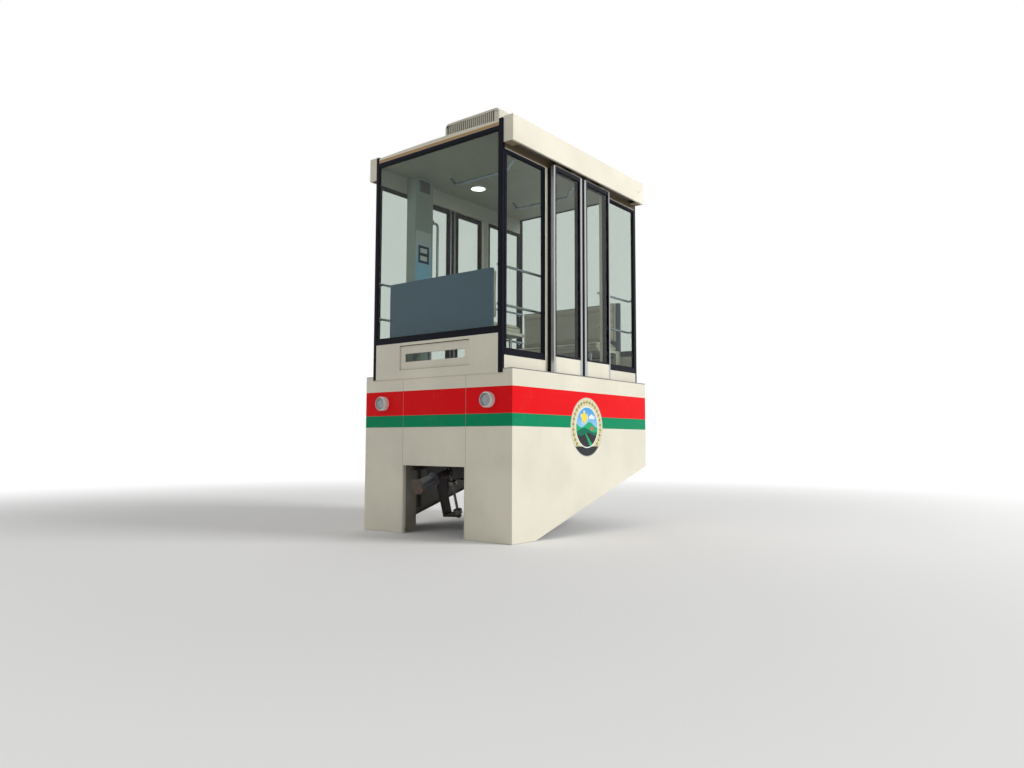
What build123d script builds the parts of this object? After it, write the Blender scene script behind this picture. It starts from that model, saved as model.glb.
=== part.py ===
from build123d import *
import math
import os

# Inclined monorail car: a level cabin on a skirt whose bottom follows the slope it climbs.
# Millimetres. +X points uphill, +Y to the left of a passenger who faces uphill, +Z up.
# The origin lies on the face that the wheels run on, midway between the two running wheels.

os.makedirs("parts", exist_ok=True)

# Slope, and the space kept free under the car
SLOPE = 0.30                      # rise over run
CHORD_WIDTH = 150.0               # across, top and bottom alike
CHORD_HEIGHT = 75.0
GIRDER_HEIGHT = 342.5             # running face to the bottom of that space

# Cabin
CABIN_WIDTH = 1505.0
END_LAP = 12.0                    # end panels stand proud of the skirt face
END_LIP = 27.0                    # and cover its top edge
END_WALL = 30.0
SIDE_WALL = 30.0
POST_WIDTH = 40.0
POST_ROUNDING = 6.0
POST_RISE = 12.0                  # corner posts end above the roof edge
CEILING = 1953.0                  # heights in the cabin are above the skirt top
HEADER = 34.0
ROOF_PAN = 46.0
ROOF_CROWN = 14.0
GLASS = 6.0
CLEAR = 0.3                       # gap of faces that lie on each other but aren't fixed

# Front panel with the slot window
FRONT_PANEL = 291.0
WINDSCREEN_SILL = 49.0
WINDSCREEN_INSET = 8.0
SLOT_WIDTH = 700.0
SLOT_HEIGHT = 72.0
SLOT_CENTRE = 156.0
RECESS_BORDER = 58.0              # beyond the slot's ends
RECESS_ABOVE = 73.0               # beyond its edges
RECESS_BELOW = 70.0
RECESS_DEPTH = 14.0
RECESS_CORNER = 8.0

# Fixed side windows
PILLAR = 79.0                     # between doorway and window frame
WINDOW_SILL = 116.0
WINDOW_HEAD = 159.0               # below the ceiling
WINDOW_MEMBER = 25.0
WINDOW_SILL_MEMBER = 48.0
WINDOW_PROUD = 3.0

# Sliding doors, stacked outwards from the cabin wall
LEAF_GAP = 31.5
LEAF_THICKNESS = 36.0
COVER_CLEARANCE = 10.0
COVER_LIP = 20.0
DOORWAY_HALF_WIDTH = 425.0
LEAF_LAP = 38.0                   # leaf beyond the doorway's edge
LEAF_MEETING_EDGE = 18.0          # mid length to the metal edge
NOSE_GAP = 5.0                    # between the two rubber noses
NOSE_THICKNESS = 26.0
LEAF_KICK_RAIL = 151.0
LEAF_TOP_RAIL = 46.0
LEAF_MEETING_STILE = 47.0
LEAF_OUTER_STILE = 34.0
LEAF_EDGE = 3.0                   # chamfer along the stiles
LEAF_PANE_INSET = 8.0
SILL_HEIGHT = 8.0
SILL_CLEARANCE = 6.0
SILL_GROOVE = 4.0

# Door cover box and hanging track
COVER_DROP = 111.0                # its lower edge below the ceiling
COVER_RISE = 24.0                 # its top above the roof edge
COVER_SHEET = 5.0
COVER_ROUNDING = 4.0
COVER_END_PLATE = 115.0           # closed stretch of its underside at each end
COVER_GAP = 22.0                  # between the leaf and the cover's lower edge
DOOR_LAP = 20.0                   # leaf above the doorway's top
TRACK_RISE = 38.0                 # running face of the shelf above the cover's lower edge
TRACK_SHELF = 8.0
TRACK_LEG = 5.5
TRACK_LEG_HEIGHT = 60.0
TRACK_REACH = 36.0
ROLLER_TO_LEG = 5.0
HANGER_PLATE = 8.0
HANGER_WIDTH = 90.0
HANGER_INSET = 60.0               # hanger end to the leaf's end
HANGER_RISE = 44.0                # plate above the track's shelf
DOOR_ROLLER_RADIUS = 17.0
DOOR_ROLLER_PITCH = 48.0

# Skirt
SKIRT_LENGTH = 2156.0
SKIRT_TOP = 690.0                 # above the running face at mid length
SKIRT_DEPTH = 1367.0              # at the downhill face
SKIRT_FLAT = 310.0                # level stretch of the bottom edge at the downhill end
PANEL = 25.0                      # folded panel thickness
ARCH_HALF_WIDTH = 355.0
ARCH_RISE_DOWNHILL = 231.0        # arch top above the running face
ARCH_RISE_UPHILL = 190.0
ARCH_RETURN = 33.0                # folded edge inside the arch
LINING = 6.0
LINING_DEPTH = 130.0
SEAM = 3.0                        # panel seams are shallow grooves

# Floor
DECK = 25.0
FLOOR_BEAM_WIDTH = 60.0
FLOOR_BEAM_HEIGHT = 100.0
CROSS_MEMBER_AT = 450.0

# Roof cooler
COOLER_FRONT = -620.0
COOLER_LENGTH = 900.0
COOLER_WIDTH = 660.0
COOLER_HEIGHT = 355.0
COOLER_RADIUS = 60.0
COOLER_FOOT = 18.0
COOLER_FOOT_LENGTH = 60.0
COOLER_FOOT_INSET = 90.0
SLIT_COUNT = 22
SLIT_WIDTH = 11.0
SLIT_EDGE = 25.0                  # outer slit to the rounded corner
SLIT_BELOW = 50.0
SLIT_ABOVE = 15.0                 # slit top to the rounded edge
SLIT_DEPTH = 22.0

# Benches
BENCH_SIDE_GAP = 149.5            # cabin wall to the bench's end
BENCH_BACK_GAP = 50.0             # skirt face to the board behind the backrest
BOARD = 20.0
BOARD_DROP = 110.0                # seat cushion's top to the board's lower edge
BOARD_HIGH = 845.0
BOARD_CORNER = 12.0
BACK_CUSHION = 85.0
BACK_CUSHION_RISE = 15.0          # above the seat cushion
BACK_CUSHION_LAP = 15.0           # above the board
SEAT_HEIGHT = 410.0
SEAT_CUSHION = 70.0
SEAT_DEPTH = 420.0
SEAT_PAN = 25.0
CUSHION_INSET = 4.0
LEG_PANEL = 30.0
LEG_PANEL_DEPTH = 90.0
LEG_TUBE_RADIUS = 14.0
LEG_TUBE_INSET = 120.0            # from the bench's end
LEG_TUBE_SET_BACK = 55.0          # from the pan's front edge
LEG_FOOT_RADIUS = 32.0
LEG_FOOT = 6.0

# Rails, lamps and small parts inside
GUARD_LOW = 533.0
GUARD_HIGH = 854.0
GUARD_RADIUS = 11.0
GUARD_PEG_RADIUS = 9.0
GUARD_STAND_OFF = 42.0
GRAB_RADIUS = 13.0
GRAB_DROP = 85.0
GRAB_BEND = 45.0
GRAB_FLARE = 78.0                 # each end leans outwards as it rises
GRAB_STATION = 480.0
GRAB_HALF_LENGTH = 310.0
POLE_RADIUS = 12.5                # upright pipe beside the left-hand doorway
POLE_STAND_OFF = 76.0
POLE_INSET = 102.5                # inner face of the wall to the pole
POLE_LOW = 760.0
POLE_HIGH = 1554.0
POLE_BEND = 30.0
CABINET_STATION = 597.0           # upright cabinet beside the left-hand doorway
CABINET_WIDTH = 242.0
CABINET_DEPTH = 115.0
CABINET_ROUNDING = 8.0
CEILING_LAMP_RADIUS = 80.0
CEILING_LAMP_DROP = 14.0
CEILING_LAMP_EDGE = 5.0
CEILING_LAMP_PLACE = (-85.0, 367.0)
SPEAKER_WIDTH = 128.0
SPEAKER_DEPTH = 14.0
SPEAKER_HEIGHT = 109.0
SPEAKER_DROP = 25.0               # its top below the ceiling
SPEAKER_EDGE = 4.0

# Head lamps
LAMP_RADIUS = 63.0
LAMP_LENS_RADIUS = 52.0
LAMP_OUT = 50.0
LAMP_EDGE = 6.0
LENS_SEAT = 14.0
LENS_THICKNESS = 12.0
LAMP_FROM_EDGE = 238.0            # skirt side to the lamp's middle
LAMP_BELOW = 240.0

# Running directions: s along the slope, y across, n square to the running face
# Running frame
FRAME_END_INSET = 78.0            # skirt end to the end of the side beams, in s
SIDE_BEAM_INNER = 265.0
SIDE_BEAM_WIDTH = 50.0
SIDE_BEAM_LOW = 140.0
SIDE_BEAM_HEIGHT = 100.0
SIDE_BEAM_WEB = 12.0
SIDE_BEAM_FLANGE = 14.0
POST_SIZE = 50.0
POST_END_INSET = 198.0            # skirt end to the outer posts
POST_INNER_AT = 330.0
POST_SEAT = 30.0                  # post let into the side beam
DRIVE_PLATE = 20.0
DRIVE_PLATE_HALF_LENGTH = 130.0

# Buffers
BUFFER_HEIGHT = 113.0
BUFFER_OUT = 165.5                # head beyond the skirt face, in s
BUFFER_HEAD_RADIUS = 64.0
BUFFER_HEAD = 22.0
BUFFER_HEAD_EDGE = 6.0
BUFFER_BARREL_RADIUS = 50.0
BUFFER_BARREL = 194.0
BUFFER_COLLAR = 14.0
BUFFER_COLLAR_RADIUS = 58.0
BUFFER_ROD_RADIUS = 30.0
BUFFER_BRACKET_INSET = 115.0      # side beam's end to the bracket
BUFFER_BRACKET = 20.0
BUFFER_BRACKET_LOW = 60.0
BUFFER_FLANGE_RADIUS = 46.0
BUFFER_FLANGE = 12.0

# Wheel carriers
CARRIER_INSET = 250.0             # side beam's end to the wheel
WHEEL_RADIUS = 90.0
WHEEL_WIDTH = 90.0
WHEEL_TREAD = 20.0
WHEEL_DISH = 22.0
WHEEL_HUB = 18.0
WHEEL_CHAMFER = 5.0
WHEEL_GAP = 6.0
AXLE_RADIUS = 20.0
AXLE_PLATE = 14.0
AXLE_PLATE_FOOT = 45.0            # rounded foot round the axle
BEARING_CLEARANCE = 0.05
YOKE_PLATE = 40.0
YOKE_HALF_LENGTH = 70.0
ARM_HALF_LENGTH = 45.0
ARM_THICKNESS = 30.0
FINGER = 20.0
UPPER_FINGER_AT = 15.0
FINGER_BOSS_RADIUS = 26.0
ROLLER_RADIUS = 40.0
ROLLER_HEIGHT = 40.0
ROLLER_CROWN = 4.0
ROLLER_END_GAP = 5.0
SPINDLE_RADIUS = 12.0

# Drive
DRIVE_STATION = -300.0
PINION_TEETH = 14
PINION_PITCH_RADIUS = 56.0
PINION_ADDENDUM = 8.0
PINION_DEDENDUM = 10.0
PINION_FACE = 45.0
PINION_DEPTH = 105.0              # running face down to the middle of the teeth
PINION_HUB_RADIUS = 30.0
PINION_HUB = 14.0
RACK_PITCH_LINE = 95.0            # pitch line from the centre plane
PINION_SHAFT_RADIUS = 18.0
SHAFT_SEAT = 50.0                 # shaft inside the gearbox
SHAFT_END_GAP = 10.0
GEARBOX_LOW = 60.0
GEARBOX_HALF_LENGTH = 110.0
GEARBOX_HALF_WIDTH = 100.0
GEARBOX_ROUNDING = 18.0
MOTOR_RADIUS = 95.0
MOTOR_HEIGHT = 290.0
MOTOR_CAP = 60.0
MOTOR_CAP_RADIUS = 82.0

# Current collector on the right-hand side
COLLECTOR_GAP = 70.0              # its uphill end to the uphill yoke
COLLECTOR_ARM = 25.0
COLLECTOR_MARGIN = 30.0
SHOE_COUNT = 4
SHOE_TOP = -195.0                 # highest rubbing face, n
SHOE_STEP = 20.0
SHOE_PITCH = 110.0
SHOE_FACE = 200.0                 # centre plane to the shoes' faces
SHOE_LENGTH = 90.0
SHOE_HEIGHT = 16.0
SHOE_THICKNESS = 12.0
SHOE_STEM_HEIGHT = 12.0
SHOE_STEM_INSET = 15.0

# Worked out from the sizes above
angle = math.degrees(math.atan(SLOPE))
slant = 1.0 / math.cos(math.atan(SLOPE))
half_length = SKIRT_LENGTH / 2
cabin_half = CABIN_WIDTH / 2
cabin_inside = cabin_half - SIDE_WALL
cabinet_face = cabin_inside - CABINET_DEPTH
leaf_inner = cabin_half + LEAF_GAP
leaf_face = leaf_inner + LEAF_THICKNESS
half_width = leaf_face + COVER_CLEARANCE + COVER_LIP
cabin_end = half_length + END_LAP
wall_end = cabin_end - END_WALL
skirt_bottom = SKIRT_TOP - SKIRT_DEPTH
rear_bottom = skirt_bottom + SLOPE * (SKIRT_LENGTH - SKIRT_FLAT)
beam_low = SKIRT_TOP - DECK - FLOOR_BEAM_HEIGHT
wall_top = CEILING + HEADER
roof_edge = wall_top + ROOF_PAN
window_low, window_high = WINDOW_SILL, CEILING - WINDOW_HEAD
window_edge = DOORWAY_HALF_WIDTH + PILLAR
cover_low, cover_high = CEILING - COVER_DROP, roof_edge + COVER_RISE
leaf_low, leaf_high = SILL_HEIGHT + SILL_CLEARANCE, cover_low - COVER_GAP
leaf_end = DOORWAY_HALF_WIDTH + LEAF_LAP
doorway_high = leaf_high - DOOR_LAP
shelf_top = cover_low + TRACK_RISE
bench_half = cabin_half - BENCH_SIDE_GAP
board_low = SEAT_HEIGHT - BOARD_DROP
frame_half = half_length - FRAME_END_INSET
side_beam_high = SIDE_BEAM_LOW + SIDE_BEAM_HEIGHT
bracket_station = frame_half - BUFFER_BRACKET_INSET
wheel_station = frame_half - CARRIER_INSET
buffer_reach = half_length * slant + BUFFER_OUT
yoke_low = side_beam_high - YOKE_PLATE
last_shoe = wheel_station - YOKE_HALF_LENGTH - COLLECTOR_GAP - COLLECTOR_MARGIN
first_shoe = last_shoe - SHOE_PITCH * (SHOE_COUNT - 1)
lower_chord_middle = -(GIRDER_HEIGHT - CHORD_HEIGHT / 2)
finger_top = lower_chord_middle - ROLLER_HEIGHT / 2 - ROLLER_END_GAP
spindle_y = CHORD_WIDTH / 2 + ROLLER_RADIUS
pinion_y = -(RACK_PITCH_LINE + PINION_PITCH_RADIUS)
axle_plate_inner = WHEEL_WIDTH / 2 + WHEEL_GAP
axle_end = axle_plate_inner + AXLE_PLATE

RIGHT, LEFT = -1, 1
DOWNHILL, UPHILL = -1, 1
SIDES = (RIGHT, LEFT)
ENDS = (DOWNHILL, UPHILL)
CORNERS = [(side, end) for side in SIDES for end in ENDS]
SIDE_NAMES = {RIGHT: "right", LEFT: "left"}
END_NAMES = {DOWNHILL: "downhill", UPHILL: "uphill"}


def block(x, y, z):
    """Box from three pairs of limits, in any order."""
    sizes = [abs(b - a) for a, b in (x, y, z)]
    middle = [(a + b) / 2 for a, b in (x, y, z)]
    return Pos(*middle) * Box(*sizes)


def above(*heights):
    """Heights above the skirt top, turned into Z."""
    return tuple(SKIRT_TOP + h for h in heights)


def inclined(shape):
    """A shape drawn along s, y, n, laid along the slope."""
    return Rot(0, -angle, 0) * shape


def rod(start, end, radius):
    """Round bar between two points."""
    a, b = Vector(*start), Vector(*end)
    return Solid.make_cylinder(radius, (b - a).length, Plane(origin=a, z_dir=b - a))


def turned(points):
    """Solid of revolution about Z from radius and height pairs that start and end on the axis."""
    return revolve(make_face(Plane.XZ * Polyline(*points, close=True)), Axis.Z)


def save(name, *shapes):
    """Writes one node: a single solid, or several that stand apart."""
    solids = [s for shape in shapes for s in shape.solids()]
    part = solids[0] if len(solids) == 1 else Compound(children=solids)
    export_step(part, f"parts/{name}.step")


def running_face(x):
    """Height of the running face under a point of the car."""
    return SLOPE * x


def end_bottom(end):
    """Bottom edge of the skirt at that end."""
    return skirt_bottom if end == DOWNHILL else rear_bottom


def arch_top(end):
    rise = ARCH_RISE_DOWNHILL if end == DOWNHILL else ARCH_RISE_UPHILL
    return running_face(end * half_length) + rise


# Skirt: side panels, level at the bottom near the downhill end and then parallel to the slope
def skirt_side(side):
    outline = Polyline(
        (-half_length, skirt_bottom), (SKIRT_FLAT - half_length, skirt_bottom), (half_length, rear_bottom),
        (half_length, SKIRT_TOP), (-half_length, SKIRT_TOP), close=True,
    )
    panel = extrude(make_face(Plane.XZ * outline), PANEL, dir=(0, 1, 0))
    inner, outer = side * (half_width - PANEL), side * half_width
    return Pos(0, min(inner, outer), 0) * panel


# Skirt: end panels with the arch, its folded edge and the two seams
def skirt_end(end):
    outer = end * half_length
    inner = end * (half_length - PANEL)
    back = end * (half_length - ARCH_RETURN)
    bottom, top = end_bottom(end), arch_top(end)
    across = half_width - PANEL
    panel = block((outer, inner), (-across, across), (bottom, SKIRT_TOP))
    panel += block(
        (outer, back), (-ARCH_HALF_WIDTH - LINING, ARCH_HALF_WIDTH + LINING), (bottom, top + LINING)
    )
    panel -= block((outer, back), (-ARCH_HALF_WIDTH, ARCH_HALF_WIDTH), (bottom, top))
    seam = ARCH_HALF_WIDTH + LINING + SEAM
    for side in SIDES:
        groove = (side * seam, side * (seam + SEAM))
        panel -= block((outer, outer - end * SEAM), groove, (bottom, SKIRT_TOP))
    return panel


def arch_cheek(end, side):
    """Flat cheek behind the folded edge of the arch, cut along the slope at the downhill end."""
    front = half_length - ARCH_RETURN
    back = front - LINING_DEPTH
    y = side * ARCH_HALF_WIDTH
    low = end_bottom(end) + (SLOPE * LINING_DEPTH if end == DOWNHILL else 0)
    return block((end * front, end * back), (y, y + side * LINING), (low, arch_top(end) + LINING))


# Floor
def floor_deck():
    x, y = half_length - PANEL, half_width - PANEL
    return block((-x, x), (-y, y), (SKIRT_TOP - DECK, SKIRT_TOP))


def floor_frame():
    """Ladder of box sections: a rim, two members over the running frame, two across."""
    x, y, w = half_length - PANEL, half_width - PANEL, FLOOR_BEAM_WIDTH
    z = (beam_low, SKIRT_TOP - DECK)
    frame = block((-x, x), (-y, y), z) - block((-x + w, x - w), (-y + w, y - w), z)
    for side in SIDES:
        frame += block((-x, x), (side * SIDE_BEAM_INNER, side * (SIDE_BEAM_INNER + SIDE_BEAM_WIDTH)), z)
    for end in ENDS:
        middle = end * CROSS_MEMBER_AT
        frame += block((middle - w / 2, middle + w / 2), (-y, y), z)
    return frame


def door_sill(side):
    """Tread strip along the skirt top with two shallow grooves under the leaves."""
    sill = block((-half_length, half_length), (side * cabin_half, side * half_width), above(0, SILL_HEIGHT))
    for y in (leaf_inner, leaf_face - SILL_GROOVE):
        groove = (side * y, side * (y + SILL_GROOVE))
        sill -= block((-half_length, half_length), groove, above(SILL_HEIGHT / 2, SILL_HEIGHT))
    return sill


# Cabin walls
def side_wall(side):
    y = (side * cabin_inside, side * cabin_half)
    wall = block((-wall_end, wall_end), y, above(0, wall_top))
    wall -= block((-DOORWAY_HALF_WIDTH, DOORWAY_HALF_WIDTH), y, above(0, doorway_high))
    for end in ENDS:
        wall -= block((end * window_edge, end * wall_end), y, above(window_low, window_high))
    return wall


def window_x(end):
    return end * (window_edge + WINDOW_MEMBER), end * (wall_end - WINDOW_MEMBER)


def window_z():
    return above(window_low + WINDOW_SILL_MEMBER, window_high - WINDOW_MEMBER)


def window_frame(side, end):
    y = (side * cabin_inside, side * (cabin_half + WINDOW_PROUD))
    frame = block((end * window_edge, end * wall_end), y, above(window_low, window_high))
    return frame - block(window_x(end), y, window_z())


def window_pane(side, end):
    y = side * (cabin_half - SIDE_WALL / 2)
    return block(window_x(end), (y, y + side * GLASS), window_z())


def slot_z():
    return above(SLOT_CENTRE - SLOT_HEIGHT / 2, SLOT_CENTRE + SLOT_HEIGHT / 2)


def end_panel(end):
    """Panel under the windscreen, with a lip over the skirt and a recess round the slot window."""
    outer, inner = end * cabin_end, end * wall_end
    across = cabin_half - POST_WIDTH
    panel = block((outer, inner), (-across, across), above(0, FRONT_PANEL))
    panel += block((outer, end * half_length), (-across, across), above(-END_LIP, 0))
    half = SLOT_WIDTH / 2
    low, high = slot_z()
    recess = block(
        (outer, outer - end * RECESS_DEPTH), (-half - RECESS_BORDER, half + RECESS_BORDER),
        (low - RECESS_BELOW, high + RECESS_ABOVE),
    )
    panel -= fillet(recess.edges().filter_by(Axis.X), RECESS_CORNER)
    return panel - block((outer, inner), (-half, half), (low, high))


def slot_pane(end):
    x = end * (wall_end + END_WALL / 4)
    return block((x, x - end * GLASS), (-SLOT_WIDTH / 2, SLOT_WIDTH / 2), slot_z())


def windscreen_frame(end):
    """Corner posts, sill and head member as one black surround."""
    outer, inner = end * cabin_end, end * wall_end
    across = cabin_half - POST_WIDTH
    frame = block((outer, inner), (-across, across), above(FRONT_PANEL, FRONT_PANEL + WINDSCREEN_SILL))
    frame += block((outer, inner), (-across, across), above(CEILING, wall_top))
    for side in SIDES:
        y = (side * across, side * cabin_half)
        post = block((outer, inner), y, above(-END_LIP, roof_edge + POST_RISE))
        upright = post.edges().filter_by(Axis.Z)
        corner = upright.sort_by(lambda edge: side * edge.center().Y + end * edge.center().X)[-1]
        frame += fillet(corner, POST_ROUNDING)
    return frame - block((end * half_length, inner), (-cabin_half, cabin_half), above(-END_LIP, 0))


def windscreen(end):
    x = end * (cabin_end - WINDSCREEN_INSET)
    across = cabin_half - POST_WIDTH
    return block((x, x - end * GLASS), (-across, across), above(FRONT_PANEL + WINDSCREEN_SILL, CEILING))


def roof_panel():
    """Crowned pan between the corner posts; its core drops inside the walls as the ceiling."""
    across = cabin_half
    low, high = above(wall_top, roof_edge)
    sides = Polyline((-across, high), (-across, low), (across, low), (across, high))
    crown = ThreePointArc((across, high), (0, high + ROOF_CROWN), (-across, high))
    profile = Plane.YZ * make_face(sides + crown)
    pan = Pos(-cabin_end, 0, 0) * extrude(profile, 2 * cabin_end, dir=(1, 0, 0))
    pan += block((-wall_end, wall_end), (-cabin_inside, cabin_inside), above(CEILING, wall_top))
    for side, end in CORNERS:
        notch = (side * (cabin_half - POST_WIDTH), side * cabin_half)
        pan -= block((end * wall_end, end * cabin_end), notch, above(wall_top, roof_edge + ROOF_CROWN))
    return pan


# Doors
def leaf_z():
    return above(leaf_low, leaf_high)


def leaf_glass_x(end):
    return end * (LEAF_MEETING_EDGE + LEAF_MEETING_STILE), end * (leaf_end - LEAF_OUTER_STILE)


def leaf_glass_z():
    return above(leaf_low + LEAF_KICK_RAIL, leaf_high - LEAF_TOP_RAIL)


def door_leaf(side, end):
    """Stiles, rails and kick panel in one, with the rubber nose and two hangers on the track."""
    y = (side * leaf_inner, side * leaf_face)
    leaf = block((end * LEAF_MEETING_EDGE, end * leaf_end), y, leaf_z())
    leaf = chamfer(leaf.edges().filter_by(Axis.Z), LEAF_EDGE)
    leaf -= block(leaf_glass_x(end), y, leaf_glass_z())
    return leaf + door_nose(side, end) + door_hanger(side, end, 0) + door_hanger(side, end, 1)


def door_nose(side, end):
    """Rubber strip with a round front that meets the other leaf's strip."""
    middle = side * (leaf_inner + leaf_face) / 2
    radius = NOSE_THICKNESS / 2
    tip = NOSE_GAP / 2
    low, high = leaf_z()
    x = (end * (tip + radius), end * (LEAF_MEETING_EDGE + LEAF_EDGE))
    strip = block(x, (middle - radius, middle + radius), (low, high))
    return strip + rod((end * (tip + radius), middle, low), (end * (tip + radius), middle, high), radius)


def door_hanger(side, end, number):
    """Plate on the leaf's top with two rollers that stand on the track's shelf."""
    middle = (leaf_inner + leaf_face) / 2
    first = LEAF_MEETING_EDGE + HANGER_INSET
    last = leaf_end - HANGER_INSET - HANGER_WIDTH
    near = last if number else first
    x = (end * near, end * (near + HANGER_WIDTH))
    y = (side * middle, side * (middle - HANGER_PLATE))
    hanger = block(x, y, above(leaf_high, shelf_top + HANGER_RISE))
    z = SKIRT_TOP + shelf_top + CLEAR + DOOR_ROLLER_RADIUS
    inside, outside = cabin_half + TRACK_LEG + ROLLER_TO_LEG, middle - HANGER_PLATE
    for place in (-1, 1):
        centre = end * (near + HANGER_WIDTH / 2) + place * DOOR_ROLLER_PITCH / 2
        hanger = hanger + rod((centre, side * inside, z), (centre, side * outside, z), DOOR_ROLLER_RADIUS)
    return hanger


def door_glass(side, end):
    y = side * (leaf_face - LEAF_PANE_INSET)
    return block(leaf_glass_x(end), (y, y - side * GLASS), leaf_glass_z())


def door_track(side):
    """L-shaped rail on the wall head; the hangers' rollers run on its shelf."""
    wall = side * cabin_half
    x = (-half_length + COVER_SHEET, half_length - COVER_SHEET)
    low = shelf_top - TRACK_SHELF
    leg = block(x, (wall, wall + side * TRACK_LEG), above(low, shelf_top + TRACK_LEG_HEIGHT))
    return leg + block(x, (wall, wall + side * TRACK_REACH), above(low, shelf_top))


def door_cover(side):
    """Cover box over the track, open below where the hangers run."""
    wall, outer = side * cabin_half, side * half_width
    x = (-half_length, half_length)
    inside_x = (-half_length + COVER_SHEET, half_length - COVER_SHEET)
    box = block(x, (wall, outer), above(cover_low, cover_high))
    long_edges = box.edges().filter_by(Axis.X).sort_by(lambda e: side * e.center().Y)[-2:]
    box = fillet(long_edges, COVER_ROUNDING)
    box -= block(inside_x, (wall, outer - side * COVER_SHEET), above(cover_low, cover_high - COVER_SHEET))
    box += block(x, (outer - side * COVER_LIP, outer - side * COVER_ROUNDING),
                 above(cover_low, cover_low + COVER_SHEET))
    box += block(x, (wall, wall + side * COVER_SHEET), above(wall_top, cover_high - COVER_SHEET))
    for end in ENDS:
        plate = (end * (half_length - COVER_SHEET), end * (half_length - COVER_END_PLATE))
        box += block(plate, (wall, outer - side * COVER_LIP), above(cover_low, cover_low + COVER_SHEET))
    return box


# Roof cooler: rounded housing with a row of upright slits at both ends
def roof_cooler():
    x0, x1 = COOLER_FRONT, COOLER_FRONT + COOLER_LENGTH
    half = COOLER_WIDTH / 2
    low = SKIRT_TOP + roof_edge + ROOF_CROWN + COOLER_FOOT
    high = low + COOLER_HEIGHT
    body = block((x0, x1), (-half, half), (low, high))
    body = fillet(body.edges().filter_by(Axis.Z) + body.edges().group_by(Axis.Z)[-1], COOLER_RADIUS)
    first = COOLER_RADIUS + SLIT_EDGE - half
    pitch = -2 * first / (SLIT_COUNT - 1)
    for number in range(SLIT_COUNT):
        middle = first + number * pitch
        y = (middle - SLIT_WIDTH / 2, middle + SLIT_WIDTH / 2)
        for face, inward in ((x0, SLIT_DEPTH), (x1, -SLIT_DEPTH)):
            body -= block((face, face + inward), y, (low + SLIT_BELOW, high - COOLER_RADIUS - SLIT_ABOVE))
    for x in (x0 + COOLER_FOOT_INSET, x1 - COOLER_FOOT_INSET - COOLER_FOOT_LENGTH):
        foot_half = half - COOLER_RADIUS
        body += block((x, x + COOLER_FOOT_LENGTH), (-foot_half, foot_half), (SKIRT_TOP + roof_edge, low))
    return body - roof_panel()


# Benches
def bench_front():
    return half_length - BENCH_BACK_GAP - BOARD - SEAT_DEPTH


def bench(end):
    """Seat pan on two bent tubes and two leg panels, with the board behind the backrest."""
    board_out, board_in = half_length - BENCH_BACK_GAP, half_length - BENCH_BACK_GAP - BOARD
    y = (-bench_half, bench_half)
    pan_top = SEAT_HEIGHT - SEAT_CUSHION
    board = block((end * board_out, end * board_in), y, above(board_low, BOARD_HIGH))
    top_corners = board.edges().filter_by(Axis.X).group_by(Axis.Z)[-1]
    base = fillet(top_corners, BOARD_CORNER)
    base += block((end * board_out, end * bench_front()), y, above(pan_top - SEAT_PAN, pan_top))
    for side in SIDES:
        edge = side * bench_half
        panel_x = (end * board_out, end * (board_out - LEG_PANEL_DEPTH))
        base += block(panel_x, (edge, edge - side * LEG_PANEL), above(0, pan_top - SEAT_PAN))
        base = base + front_leg(end, side, pan_top - SEAT_PAN)
    return base


def front_leg(end, side, top):
    """Tube under the pan's front edge, on a round foot."""
    x, y = end * (bench_front() + LEG_TUBE_SET_BACK), side * (bench_half - LEG_TUBE_INSET)
    floor = SKIRT_TOP
    tube = rod((x, y, floor), (x, y, SKIRT_TOP + top), LEG_TUBE_RADIUS)
    return tube + rod((x, y, floor), (x, y, floor + LEG_FOOT), LEG_FOOT_RADIUS)


def seat_cushion(end):
    back = half_length - BENCH_BACK_GAP - BOARD - CLEAR
    y = bench_half - CUSHION_INSET
    z = above(SEAT_HEIGHT - SEAT_CUSHION + CLEAR, SEAT_HEIGHT)
    return block((end * back, end * bench_front()), (-y, y), z)


def back_cushion(end):
    back = half_length - BENCH_BACK_GAP - BOARD - CLEAR
    y = bench_half - CUSHION_INSET
    z = above(SEAT_HEIGHT + BACK_CUSHION_RISE, BOARD_HIGH + BACK_CUSHION_LAP)
    return block((end * back, end * (back - BACK_CUSHION)), (-y, y), z)


# Rails and small parts inside
def guard_rail(side, end, height):
    """A bar across a fixed window, pegged to the window frame and to the pillar, or ending in the cabinet."""
    y = side * (cabin_inside - GUARD_STAND_OFF)
    wall = side * cabin_inside
    z = SKIRT_TOP + height
    near, far = window_edge - WINDOW_MEMBER, wall_end - WINDOW_MEMBER / 2
    pegs = [near, far]
    start = near - GUARD_RADIUS
    if (side, end) == (LEFT, DOWNHILL):
        pegs = [far]
        start = CABINET_STATION + CABINET_WIDTH / 2
    bar = rod((end * start, y, z), (end * (far + GUARD_RADIUS), y, z), GUARD_RADIUS)
    for peg in pegs:
        bar = bar + rod((end * peg, y, z), (end * peg, wall, z), GUARD_PEG_RADIUS)
    return bar


def grab_rail(end):
    """Bent pipe across the car under the ceiling, its two ends turned up."""
    x = end * GRAB_STATION
    top = SKIRT_TOP + CEILING
    low, high = top - GRAB_DROP, top + GRAB_RADIUS
    half, outer = GRAB_HALF_LENGTH, GRAB_HALF_LENGTH + GRAB_FLARE
    corners = (x, -outer, high), (x, -half, low), (x, half, low), (x, outer, high)
    path = FilletPolyline(*corners, radius=GRAB_BEND)
    section = Plane(origin=path @ 0, z_dir=path % 0) * Circle(GRAB_RADIUS)
    return split(sweep(section, path), bisect_by=Plane.XY.offset(top), keep=Keep.BOTTOM)


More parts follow.
